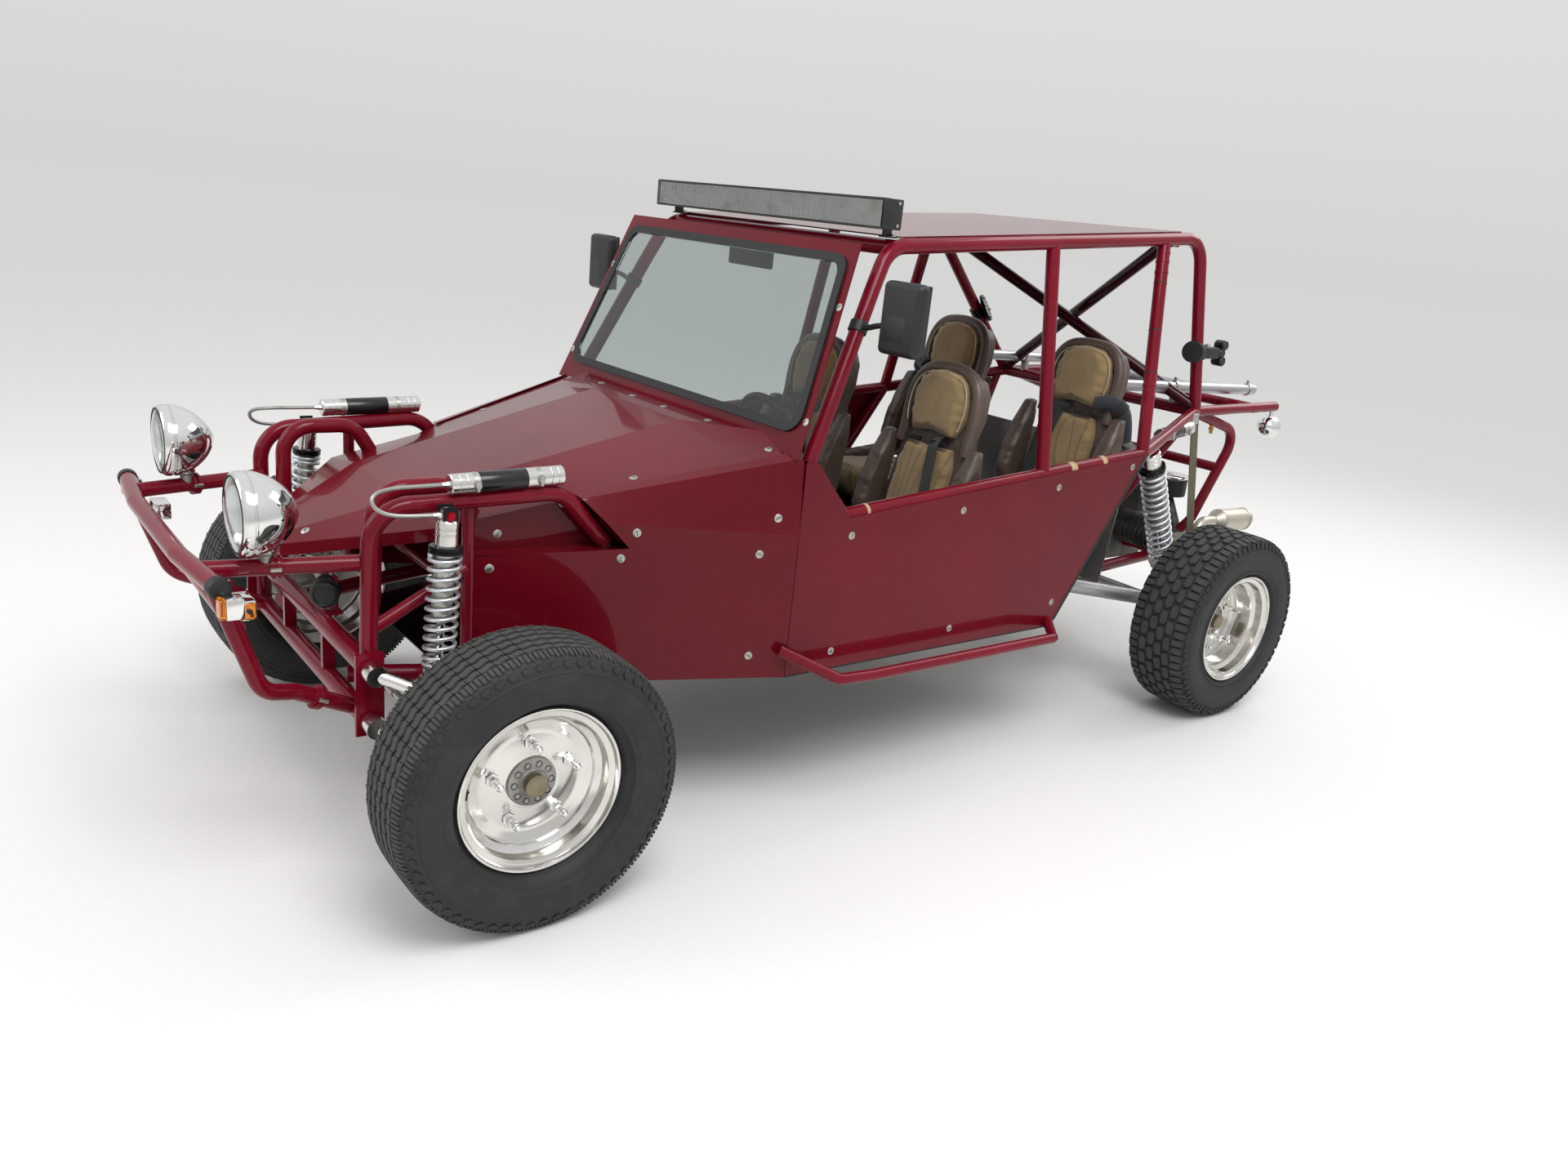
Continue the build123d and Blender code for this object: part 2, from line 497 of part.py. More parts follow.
def build_body():
    """The sheet panels of the nose, sides, belly and roof."""
    t = panel_t
    # station x, half width and height of the edge, half width and height of the raised plateau
    hood = [
        (nose_x, 100.0, 762.0, 60.0, 776.0),
        (shoulder_x, 400.0, 861.0, 200.0, 892.0),
        (-205.0, 440.0, 916.0, 219.0, 961.0),
        (-300.0, 501.0, 939.4, 226.0, 984.0),
        (-703.0, 636.0, 1029.4, 254.0, 1085.0),
        (cowl_x - 10, 688.0, 1059.4, 566.0, 1102.0),
    ]
    sections = []
    for x, edge, edge_z, top, top_z in hood:
        upper = [(x, -edge, edge_z), (x, -top, top_z), (x, top, top_z), (x, edge, edge_z)]
        lower = [(px, py, pz - t) for px, py, pz in reversed(upper)]
        sections.append(upper + lower)
    panel = loft_of(sections[:2])
    for k in range(1, len(sections) - 1):
        panel = panel + loft_of(sections[k:k + 2])
    nose_at, nose_half, nose_low, top_half, nose_top = hood[0]
    brow_at, brow_half, brow_low = hood[1][:3]
    lip = nose_low - hood_lip
    panel = panel + plate([(nose_at, -nose_half, lip), (nose_at, nose_half, lip), (nose_at, nose_half, nose_low),
                           (nose_at, top_half, nose_top), (nose_at, -top_half, nose_top),
                           (nose_at, -nose_half, nose_low)], 3.0, (-1, 0, 0))
    for sign in (-1, 1):
        panel = panel + plate([(nose_at, sign * nose_half, nose_low), (brow_at, sign * brow_half, brow_low),
                               (brow_at, sign * brow_half, brow_low - hood_lip), (nose_at, sign * nose_half, lip)],
                              3.0, (-1, -sign * 0.95, 0))
    behind = extrude(screen_plane() * Rectangle(1600.0, 1600.0), -400.0)
    add("hood", seat_on_frame(panel - Pos(seat_gap, 0, 0) * behind))
    # station x, then half width and height of the strip's edge, the ridge, the lip and the seam
    shoulder = [
        (-240.0, (451.0, 935.8), (485.0, 930.8), (side_at(-240.0), 885.0), (side_at(-240.0), 807.0)),
        (corner_x, (652.5, 1071.3), (686.5, 1060.8), (body_half, 850.0), (body_half, 838.0)),
    ]
    rows = []
    for x, strip, ridge, lip, seam in shoulder:
        outer = [strip, ridge, lip, seam]
        inner = [(seam[0] - 3, seam[1]), (lip[0] - 3, lip[1]), (ridge[0] - 3, ridge[1] - 3), (strip[0], strip[1] - 3)]
        rows.append([(x, y, z) for y, z in outer + inner])
    leg_cut = Pos(-244.5, 500, 973) * Rot(0, 41.5, 0) * Box(120, 400, 600, align=(Align.MIN, Align.CENTER, Align.CENTER))
    screen_foot = behind & block((-1200.0, -800.0, 1056.0), (0.0, 800.0, 1400.0))
    edge_sheet = seat_on_frame(loft_of(rows) - leg_cut - screen_foot)
    low = [(0.0, 520.0), (-330.0, 445.0), (corner_x + 1.5, sill_z), (corner_x + 1.5, 838.0 - seat_gap), (-240.0, 806.7),
           (0.0, 800.0)]
    normal = (body_half - nose_side, -corner_x, 0)
    lower = plate([(x, side_at(x), z) for x, z in low], -t, normal)
    shelf = plate([(0.0, 408.0, shelf_top - 3), (0.0, 452.0, shelf_top - 3), (-372.0, side_at(-372.0) - 6, shelf_top - 3),
                   (-372.0, 450.0, shelf_top - 3)], 3 - seat_gap, (0, 0, 1))
    inner_rows = []
    for x, y, high in ((0.0, 408.0, 870.4), (-205.0, 438.0, 911.4), (-372.0, 452.0, 944.0)):
        inner_rows.append([(x, y - 3, shelf_top), (x, y, shelf_top), (x, y, high), (x, y - 3, high)])
    inner = loft_of(inner_rows[:2]) + loft_of(inner_rows[1:])
    for name, half in zip(("left", "right"), both(edge_sheet)):
        add("shoulder_panel_" + name, half)
    for piece in (lower, shelf, inner):
        for name, half in zip(("left", "right"), both(seat_on_frame(piece))):
            add("front_panel_" + name, half)
    outline = [(corner_x - seat_gap, body_half - t, sill_z), (corner_x - seat_gap, body_half - t, 1052.0),
               (-880.0, body_half - t, 1046.0), (belt_front_x - 6, body_half - t, belt_front_z),
               (belt_rear_x + 18, body_half - t, belt_rear_z), (-1992.0, body_half - t, 462.0),
               (-1968.0, body_half - t, sill_z)]
    side = plate(outline, t, (0, 1, 0))
    for name, half in zip(("left", "right"), both(side)):
        add("cabin_panel_" + name, half)
    belly = plate([(0.0, 340.0, sill_z - t), (cowl_x, body_half - t, sill_z - t), (-1968.0, body_half - t, sill_z - t),
                   (-2420.0, 380.0, sill_z - t), (-2420.0, -380.0, sill_z - t), (-1968.0, -body_half + t, sill_z - t),
                   (cowl_x, -body_half + t, sill_z - t), (0.0, -340.0, sill_z - t)], t - seat_gap, (0, 0, 1))
    add("belly_pan", belly)
    slope = (roof_rear_z - roof_front_z) / (roof_rear_x - roof_front_x)
    lift = (tube_r + seat_gap) * math.hypot(1.0, slope)
    corners = [(roof_sheet_front_x, roof_front_half), (roof_sheet_rear_x, 505.0), (roof_sheet_rear_x, -505.0),
               (roof_sheet_front_x, -roof_front_half)]
    roof = [(x, y, roof_front_z + slope * (x - roof_front_x) + lift) for x, y in corners]
    add("roof_panel", plate(roof, t, (-slope, 0, 1)))
    wall = [(-2446.0, -525.0, 480.0), (-2446.0, 525.0, 480.0), (-2514.0, 525.0, 975.0), (-2514.0, -525.0, 975.0)]
    add("firewall", seat_on_frame(plate(wall, t, (1, 0, 0))))


def screen_plane():
    """The plane of the windscreen's outer face, with its origin at the foot of the seal."""
    rake = math.atan2(-179.0, 471.0)
    return Plane(origin=(-830.0, 0, 1116.0), x_dir=(0, 1, 0), z_dir=(math.cos(rake), 0, -math.sin(rake)))


def build_windscreen():
    """The sheet surround, the rubber seal and the glass, built flat and leaned back."""
    height = math.hypot(179.0, 471.0)
    base = screen_plane()

    def ring(low_half, high_half, low, high, corner):
        shape = make_face(Polyline((-low_half, low), (low_half, low), (high_half, high), (-high_half, high), close=True))
        return fillet(shape.vertices(), corner)

    seal_out = ring(655.0, 577.0, 0.0, height, 55.0)
    seal_in = ring(628.0, 552.0, 24.0, height - 24.0, 42.0)
    outer = make_face(Polyline((-692.0, -62.0), (692.0, -62.0), (600.0, height + 36.0), (-600.0, height + 36.0),
                               close=True))
    frame_hole = ring(655.0 + seat_gap, 577.0 + seat_gap, -seat_gap, height + seat_gap, 55.0)
    surround = extrude(base * (outer - frame_hole), -panel_t)
    add("windscreen_surround", seat_on_frame(surround))
    seal = extrude(base * (seal_out - seal_in), 7.0, both=True)
    glass_face = ring(628.0 - seat_gap, 552.0 - seat_gap, 24.0 + seat_gap, height - 24.0 - seat_gap, 42.0)
    add("windscreen_seal", seat_on_frame(seal))
    add("windscreen_glass", extrude(base * glass_face, 3.0, both=True))


def build_cabin():
    """The dashboard, the seats, and the steering column with its wheel."""
    add("dashboard", seat_on_frame(block((-905.0, -662.0, 850.0), (-870.0, 662.0, 1030.0))))
    for name, x, y in (("front_left", front_seat_x, seat_y), ("front_right", front_seat_x, -seat_y),
                       ("rear_left", rear_seat_x, seat_y), ("rear_right", rear_seat_x, -seat_y)):
        lift = 0.0 if "front" in name else 90.0
        h = seat_half
        z = 560.0 + lift
        cushion = plate([(x, y - h + 70, z), (x + 470, y - h + 70, z), (x + 490, y - h + 70, z + 90),
                         (x + 470, y - h + 70, z + 120), (x, y - h + 70, z + 80)], 2 * h - 140, (0, 1, 0))
        back = plate([(x - seat_gap, y - h + 60, z), (x - seat_gap, y - h + 60, z + 80),
                      (x - 92, y - h + 60, z + 500), (x - 110, y - h + 60, z + 640), (x - 150, y - h + 60, z + 700),
                      (x - 210, y - h + 60, z + 690), (x - 130, y - h + 60, z)], 2 * h - 120, (0, 1, 0))
        head = [(x - 260, y - h + 60, z + 560), (x - 260, y - h + 82, z + 660), (x - 260, y - h + 120, z + 705),
                (x - 260, y - h + 40, z + 705), (x - 260, y - h + 40, z + 560)]
        for wedge in (head, [(px, 2 * y - py, pz) for px, py, pz in head]):
            back = back - plate(wedge, 260.0, (1, 0, 0))
        pieces = [cushion, back]
        for sign in (-1, 1):
            inner = y + sign * (h - 69.7)
            bolster = plate([(x + 4, inner, z), (x + 460, inner, z), (x + 470, inner, z + 150),
                             (x + 60, inner, z + 170), (x + 4, inner, z + 120)], 69.0, (0, sign, 0))
            wing_y = y + sign * (h - 59.7)
            wing = plate([(x - 16, wing_y, z + 130), (x + 46, wing_y, z + 190), (x + 22, wing_y, z + 290),
                          (x - 26, wing_y, z + 385), (x - 104, wing_y, z + 480), (x - 140, wing_y, z + 480),
                          (x - 120, wing_y, z + 60)], 59.0, (0, sign, 0))
            pieces += [bolster, wing]
        add("seat_" + name, *pieces)
        floor = 468.0 + seat_gap if "front" in name else 477.0 + seat_gap
        for rail_y in (y - 140, y + 110):
            add("seat_mounts", block((x + 40, rail_y, floor), (x + 420, rail_y + 30, z - seat_gap)))
    wheel_centre = (-1010.0, seat_y, 1012.0)
    tilt = math.radians(24.0)
    back_axis = Vector(-math.cos(tilt), 0, math.sin(tilt))
    plane = Plane(origin=wheel_centre, x_dir=(0, 1, 0), z_dir=back_axis)
    ring = plane * Torus(160.0, 13.0)
    spokes = [plane * Rot(0, 0, a) * Pos(80, 0, 0) * Box(150, 22, 6) for a in (90, 210, 330)]
    hub = plane * Cylinder(34.0, 24.0)
    add("steering_wheel", ring + spokes + hub)
    near_end = Vector(*wheel_centre) - back_axis * (12.0 + seat_gap)
    far_end = Vector(*wheel_centre) - back_axis * 150.0
    column = tube([near_end, far_end], 14.0)
    add("steering_column", column - block((-905.0 - seat_gap, 200.0, 849.7), (-780.0, 460.0, 1030.3)))


def build_lamps():
    """Headlamps, light bar, indicators, tail lamps and mirrors."""
    for side in (1, -1):
        centre = (500.0, side * 396.0, 928.0)
        profile = Polyline((0, 0), (0, 89), (20, 97), (40, 97), (70, 88), (105, 62), (128, 34), (138, 0), close=True)
        shell = revolve(make_face(profile), Axis.X, 360)
        lamp = Pos(528.0, side * 396.0, 928.0) * Rot(0, 180, 0) * shell
        stem = rod((462.0, side * 397.0, 850.0), (462.0, side * 397.0, 806.0), 17.0)
        add("headlamps", seat_on_frame(lamp + stem))
        ball = Pos(tail_x + 14.0, side * 500.0, 1040.0) * Sphere(44.0)
        hanger = rod((tail_x + 14.0, side * 500.0, 1070.0), (tail_x + 14.0, side * 500.0, 1124.0), 8.0)
        add("small_lamps", seat_on_frame(ball + hanger))
        signal = Pos(550.0, side * 431.0, 724.0) * Box(44.0, 78.0, 48.0)
        add("small_lamps", seat_on_frame(signal))
    bar = block((-1172.0, -590.0, 1662.0), (-1100.0, 590.0, 1745.0))
    feet = [block((-1186.0, y, 1616.0), (-1164.0, y + 40.0, 1664.0)) for y in (-560.0, 520.0)]
    add("light_bar", seat_on_frame(bar + feet))
    for side in (1, -1):
        mirror_box = block((-1046.0, side * 800 - 72, 1350.0), (-1000.0, side * 800 + 72, 1540.0))
        mirror_box = fillet(mirror_box.edges().filter_by(Axis.X), 22.0)
        bracket = rod((-1036.0, side * 606.0, 1400.0), (-1023.0, side * 740.0, 1420.0), 8.0)
        add("mirrors", seat_on_frame(mirror_box + bracket))
    inner = block((-1106.0, -112.0, 1508.0), (-1090.0, 112.0, 1566.0))
    inner = fillet(inner.edges().filter_by(Axis.X), 20.0)
    add("mirrors", seat_on_frame(inner + rod((-1100.0, 0.0, 1550.0), (-1180.0, 0.0, 1616.0), 7.0)))


def build_drive():
    """Engine, transaxle, exhaust and the rear arms."""
    case = block((-3260.0, -120.0, 400.0), (-3000.0, 120.0, 660.0))
    shroud = [(-3112.0, y, fan_z + z) for y, z in ((-230, -130), (230, -130), (230, 0), (168, 90), (80, 130),
                                                   (-80, 130), (-168, 90), (-230, 0))]
    intake_foot = (-3150.0, head_y - 28.0, cylinder_z + 40.0)
    intake_top = (-3170.0, 262.0, 716.0)
    # what stands on the centre line: centre's x and z, radius, length
    centre_line = [(-3124.0, fan_z, 118.0, 30.0), (-3196.0, fan_z, 46.0, 132.0), (-3270.0, fan_z, 68.0, 18.0),
                   (-3268.0, 520.0, 84.0, 18.0)]
    half = [block((-3244.0, head_y - 50.0, cylinder_z - 52.0), (-3026.0, head_y, cylinder_z + 52.0)),
            rod(intake_foot, intake_top, exhaust_r), disc((-3170.0, 262.0, 752.0), (0, 0, 1), 72.0, 74.0)]
    for x in (-3190.0, -3080.0):
        half.append(rod((x, 110.0, cylinder_z), (x, head_y - 45.0, cylinder_z), cylinder_r))
        half += [disc((x, 146.0 + fin_pitch * k, cylinder_z), (0, 1, 0), fin_r, 6.0) for k in range(8)]
    engine = case + plate(shroud, 84.0, (1, 0, 0))
    engine = engine + [disc((x, 0.0, z), (1, 0, 0), radius, length) for x, z, radius, length in centre_line]
    engine = engine + [copy for piece in half for copy in both(piece)]
    add("engine", seat_on_frame(engine))
    add("transaxle", seat_on_frame(loft_of([
        [(-2999.7, -130, 250), (-2999.7, 130, 250), (-2999.7, 130, 520), (-2999.7, -130, 520)],
        [(-2780.0, -110, 280), (-2780.0, 110, 280), (-2780.0, 110, 480), (-2780.0, -110, 480)],
        [(-2460.0, -60, 320), (-2460.0, 60, 320), (-2460.0, 60, 440), (-2460.0, -60, 440)]])))
    pipe = tube([(-3100.0, head_y + seat_gap, 545.0), (-3100.0, 478.0, 545.0), (-3100.0, 480.0, 652.0),
                 (-3215.0, 481.0, 650.0)], exhaust_r, 45.0)
    profile = Polyline((0, 0), (24, 0), (46, 30), (46, 190), (30, 238), (0, 238), close=True)
    silencer = revolve(Plane.XZ * make_face(profile), Axis.Z, 360)
    add("exhaust", seat_on_frame(pipe + Plane(origin=(-3200.0, 480.0, 650.0), z_dir=(-230.0, 10.0, -4.0)) * silencer))
    strap_half = 22.0
    top, foot = (-2840.0, 531.5, 1101.0), (-2905.0, 620.3, 372.0)
    strap = plate([(top[0] - strap_half, *top[1:]), (top[0] + strap_half, *top[1:]),
                   (foot[0] + strap_half, *foot[1:]), (foot[0] - strap_half, *foot[1:])], 2.4, (0, 1, 0))
    add("limit_straps", *both(seat_on_frame(strap)))
    hub_face = rear_track_half + rear_disc_out - 40.0
    arm = tube([(-2440.0, 330.0, 420.0), (-2800.0, 560.0, 380.0)], 28.0)
    carrier = disc((-wheelbase, hub_face - 60.0, wheel_z), (0, 1, 0), 60.0, 90.0)
    spindle = rod((-wheelbase, hub_face - 60.0, wheel_z), (-wheelbase, hub_face + hub_bore_depth - 2.0, wheel_z),
                  hub_bore_radius - run_gap)
    swing = rod((-2785.0, 552.0, 381.0), (-2840.0, 644.0, 360.0), 24.0)
    lug = block((-2814.0, 534.0, 385.0), (-2786.0, 541.0 - seat_gap, 508.0)) + block(
        (-2814.0, 571.0 + seat_gap, 385.0), (-2786.0, 579.0, 508.0))
    pin = rod((-2800.0, 534.0, 500.0), (-2800.0, 579.0, 500.0), 8.0)
    add("rear_arms", *both(seat_on_frame(arm + swing + carrier + spindle + lug + pin)))
    shaft = rod((-wheelbase, 130.0, wheel_z), (-wheelbase, hub_face - 105.0 - seat_gap, wheel_z), 16.0)
    add("half_shafts", *both(shaft))


def build_clamp():
    """The clamp on the right rear leg with its round plate and knob."""
    top = Vector(*flip([right_leg_top])[0])
    leg = Vector(*flip([rear_base])[0]) - top
    centre = top + leg * 0.587
    inward = (Vector(0, 1, 0) - leg.normalized() * leg.normalized().Y).normalized()
    ahead = inward.cross(leg.normalized())
    normal = (inward + ahead).normalized()
    across = (ahead - inward).normalized()
    face = Plane(origin=centre + normal * (tube_r + 8.0), x_dir=leg, z_dir=normal)
    holes = PolarLocations(clamp_bolt_circle / 2, 4, start_angle=45.0)
    base = extrude(face * (Circle(clamp_plate_r) - holes * Circle(clamp_hole_r)), 13.0)
    collar = disc(tuple(centre), tuple(leg), tube_r + 9.0, 36.0)
    screw = rod(tuple(centre), tuple(centre + across * 84.0), 5.0)
    knob = disc(tuple(centre + across * 66.0), tuple(across), 12.0, 18.0)
    add("clamp_plate", seat_on_frame(base + collar + screw + knob))


build_frame()
build_wheels()
build_knuckles()
build_front_suspension()
build_shocks()
build_reservoirs()
build_body()
build_windscreen()
build_cabin()
build_lamps()
build_drive()
build_clamp()

for node, solids in NODES.items():
    moved = [s.moved(Location((front_axle_x, 0, 0))) for s in solids]
    export_step(Compound(children=moved), "parts/" + node + ".step")
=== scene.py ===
"""The looks of a four-seat tube-frame dune buggy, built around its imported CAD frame.

Everything is in metres: +X is forward, +Y the driver's left, +Z up, and the ground is z = 0.
"""

from __future__ import annotations

import json
import logging
import math
import random
from dataclasses import dataclass
from enum import Enum
from typing import Callable, Sequence

import bpy
from mathutils import Matrix, Vector

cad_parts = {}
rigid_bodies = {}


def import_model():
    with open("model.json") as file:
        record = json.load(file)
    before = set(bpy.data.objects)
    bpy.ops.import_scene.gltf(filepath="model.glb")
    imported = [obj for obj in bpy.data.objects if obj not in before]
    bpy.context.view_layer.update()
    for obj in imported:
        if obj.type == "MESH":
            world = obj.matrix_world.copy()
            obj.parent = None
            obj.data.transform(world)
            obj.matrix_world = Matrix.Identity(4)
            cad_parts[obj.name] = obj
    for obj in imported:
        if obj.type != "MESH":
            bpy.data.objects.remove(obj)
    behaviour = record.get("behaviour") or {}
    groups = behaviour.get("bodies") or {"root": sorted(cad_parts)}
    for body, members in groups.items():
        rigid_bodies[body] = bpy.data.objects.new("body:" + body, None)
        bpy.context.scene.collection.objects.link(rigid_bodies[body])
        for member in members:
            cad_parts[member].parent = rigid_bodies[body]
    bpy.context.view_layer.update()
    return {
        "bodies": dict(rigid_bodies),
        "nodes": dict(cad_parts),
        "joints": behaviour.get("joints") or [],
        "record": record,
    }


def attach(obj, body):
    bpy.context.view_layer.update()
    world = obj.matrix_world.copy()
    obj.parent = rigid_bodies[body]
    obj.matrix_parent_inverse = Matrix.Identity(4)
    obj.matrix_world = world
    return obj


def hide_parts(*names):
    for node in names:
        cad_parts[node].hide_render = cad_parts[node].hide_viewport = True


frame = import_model()

log = logging.getLogger("buggy")

Point = Sequence[float]
Triple = tuple[float, float, float]
Colour = tuple[float, float, float, float]
Part = bpy.types.Object

MM = 0.001
SCREW_SEED = 7

# the axles, in metres
FRONT_AXLE = 1.4035
REAR_AXLE = FRONT_AXLE - 2.873
AXLE_HEIGHT = 0.356
FRONT_HALF_TRACK, REAR_HALF_TRACK = 0.81, 0.76

# the cage's tube radius, the belt rail and the left rear post, in millimetres from the front axle
CAGE_TUBE = 22.0
BELT_Y = 673.7
POST_TOP, POST_FOOT = (-2478, 509, 1718), (-2350, BELT_Y, 1008)


def station(x: float, y: float, z: float) -> Vector:
    """A point in metres, for a place in millimetres measured from the front axle."""
    return Vector((FRONT_AXLE + x * MM, y * MM, z * MM))


def tone(code: str) -> Colour:
    """The linear colour of a written one.

    Args:
        code: Six hexadecimal digits, as a paint chart gives them.

    Returns:
        Red, green, blue and an alpha of 1.
    """
    parts = [int(code[k:k + 2], 16) / 255 for k in (0, 2, 4)]
    return tuple(c / 12.92 if c <= 0.04045 else ((c + 0.055) / 1.055) ** 2.4 for c in parts) + (1.0,)


# ---- shader maths


class Wire:
    """A socket in a material, on which sums are written as plain expressions."""

    def __init__(self, graph: "Graph", socket: bpy.types.NodeSocket) -> None:
        """Keeps the socket with the graph that it belongs to."""
        self.graph = graph
        self.socket = socket

    def _sum(self, operation: str, first: "Wire | float", second: "Wire | float" = 0.0) -> "Wire":
        """One Math node on two values."""
        return self.graph.node("ShaderNodeMath", {"operation": operation}, {0: first, 1: second})

    def __add__(self, other: "Wire | float") -> "Wire":
        """This plus another."""
        return self._sum("ADD", self, other)

    __radd__ = __add__

    def __sub__(self, other: "Wire | float") -> "Wire":
        """This less another."""
        return self._sum("SUBTRACT", self, other)

    def __rsub__(self, other: "Wire | float") -> "Wire":
        """Another less this."""
        return self._sum("SUBTRACT", other, self)

    def __mul__(self, other: "Wire | float") -> "Wire":
        """This times another."""
        return self._sum("MULTIPLY", self, other)

    __rmul__ = __mul__

    def __pow__(self, other: float) -> "Wire":
        """This to a power."""
        return self._sum("POWER", self, other)

    def step(self, low: float, high: float) -> "Wire":
        """A smooth step from 0 at low to 1 at high."""
        return self.graph.node("ShaderNodeMapRange", {"interpolation_type": "SMOOTHSTEP"},
                               {0: self, 1: low, 2: high, 3: 0.0, 4: 1.0})

    def wave(self, period: float) -> "Wire":
        """A sine of this value, from 0 to 1."""
        return self._sum("SINE", self * (2 * math.pi / period)) * 0.5 + 0.5


class Graph:
    """The node tree of one material."""

    def __init__(self, name: str) -> None:
        """Starts an empty material."""
        self.material = bpy.data.materials.new(name)
        self.material.use_nodes = True
        self.tree = self.material.node_tree
        self.tree.nodes.clear()

    def node(self, kind: str, settings: dict | None = None, sockets: dict | None = None, out: int | str = 0) -> Wire:
        """Adds a node.

        Args:
            kind: Blender's name of the node's type.
            settings: What is set on the node itself.
            sockets: The value or the link of each input, by name or number.
            out: The output that is wanted.

        Returns:
            The output as a Wire.
        """
        made = self.tree.nodes.new(kind)
        for key, value in (settings or {}).items():
            setattr(made, key, value)
        for key, value in (sockets or {}).items():
            if isinstance(value, Wire):
                self.tree.links.new(value.socket, made.inputs[key])
            else:
                made.inputs[key].default_value = value
        return Wire(self, made.outputs[out])

    def place(self, scale: Point = (1, 1, 1), centre: Point = (0, 0, 0)) -> Wire:
        """Object coordinates about a centre, stretched by a scale."""
        spot = self.node("ShaderNodeTexCoord", out="Object")
        shift = [-c * s for c, s in zip(centre, scale)]
        return self.node("ShaderNodeMapping", None, {"Vector": spot, "Location": shift, "Scale": scale})

    def axis(self, name: str, at: Wire | None = None) -> Wire:
        """One coordinate of a place."""
        return self.node("ShaderNodeSeparateXYZ", None, {0: at or self.place()}, out=name)

    def reach(self, centre: Point) -> Wire:
        """The distance from an axle that runs along Y through a centre."""
        spot = self.place(centre=centre)
        across, up = self.axis("X", spot), self.axis("Z", spot)
        return (across * across + up * up) ** 0.5

    def noise(self, scale: float, detail: float = 3.0, rough: float = 0.5, at: Wire | None = None) -> Wire:
        """Cloudy noise from 0 to 1."""
        return self.node("ShaderNodeTexNoise", None,
                         {"Vector": at or self.place(), "Scale": scale, "Detail": detail, "Roughness": rough})

    def cells(self, scale: float, at: Wire | None = None, feature: str = "F1") -> Wire:
        """The distance to the nearest of many scattered points."""
        return self.node("ShaderNodeTexVoronoi", {"feature": feature}, {"Vector": at or self.place(), "Scale": scale})

    def mix(self, factor: Wire | float, first: Wire | Colour, second: Wire | Colour) -> Wire:
        """A colour between two."""
        return self.node("ShaderNodeMix", {"data_type": "RGBA"}, {0: factor, 6: first, 7: second}, out=2)

    def bump(self, height: Wire, depth: float, strength: float = 1.0) -> Wire:
        """A normal for a height, with its depth in metres."""
        return self.node("ShaderNodeBump", None, {"Height": height, "Distance": depth, "Strength": strength})

    def surface(self, **sockets: Wire | float | Colour) -> None:
        """Ends the material in one Principled shader, its sockets named with _ for each space."""
        named = {key.replace("_", " "): value for key, value in sockets.items()}
        shader = self.node("ShaderNodeBsdfPrincipled", None, named)
        output = self.tree.nodes.new("ShaderNodeOutputMaterial")
        self.tree.links.new(shader.socket, output.inputs[0])


# ---- finishes


@dataclass(frozen=True)
class Finish:
    """A finish that pieces can share. Its material is made at its first use."""

    name: str

    def material(self) -> bpy.types.Material:
        """The finish as a Blender material."""
        found = bpy.data.materials.get(self.name)
        if found is None:
            graph = Graph(self.name)
            self.lay(graph)
            found = graph.material
        return found

    def lay(self, graph: Graph) -> None:
        """Builds the nodes."""
        raise NotImplementedError


@dataclass(frozen=True)
class Enamel(Finish):
    """Sprayed enamel with a glossy coat, slight orange peel, and dust that settles low down."""

    colour: str = "660817"
    deep: str = "590613"
    roughness: float = 0.32
    coat: float = 0.62
    coat_roughness: float = 0.05
    dust: float = 0.05

    def lay(self, graph: Graph) -> None:
        """Two tones of pigment, fine scratches, dust and peel."""
        cloud = graph.noise(2.2, 4.0).step(0.3, 0.7)
        base = graph.mix(cloud, tone(self.deep), tone(self.colour))
        low = 1.0 - graph.axis("Z").step(0.1, 0.75)
        specks = graph.noise(34.0, 5.0, 0.7).step(0.45, 0.85)
        dusty = specks * (low * 0.8 + 0.2) * self.dust
        hairs = graph.noise(16.0, 2.0, 0.5, graph.place((1.0, 14.0, 5.0))).step(0.7, 0.78)
        colour = graph.mix(dusty, base, tone("9a8574"))
        peel = graph.noise(420.0, 1.0)
        graph.surface(Base_Color=colour, Roughness=self.roughness + dusty * 1.2 + hairs * 0.05,
                      Normal=graph.bump(peel, 0.00004, 0.35), Coat_Weight=self.coat - dusty * 1.5,
                      Coat_Roughness=self.coat_roughness, Coat_IOR=1.36, Specular_IOR_Level=0.05)


@dataclass(frozen=True)
class Metal(Finish):
    """Bare or plated metal, with brushing, tarnish and fine pits."""

    colour: str = "c9c9c6"
    dull: str = "8d8a84"
    roughness: float = 0.2
    spread: float = 0.12
    tarnish: float = 0.3
    grain: Triple = (60.0, 60.0, 60.0)

    def lay(self, graph: Graph) -> None:
        """Tarnish in clouds, brushing along the short grain, and pits."""
        cloud = graph.noise(14.0, 5.0, 0.6).step(0.42, 0.75)
        brushed = graph.noise(6.0, 4.0, 0.6, graph.place(self.grain))
        stain = cloud * self.tarnish
        pits = graph.cells(900.0).step(0.05, 0.25)
        graph.surface(Base_Color=graph.mix(stain, tone(self.colour), tone(self.dull)), Metallic=1.0 - stain * 0.3,
                      Roughness=self.roughness + brushed * self.spread + stain * 0.35,
                      Normal=graph.bump(brushed * 0.7 + pits * 0.3, 0.00005, 0.3))


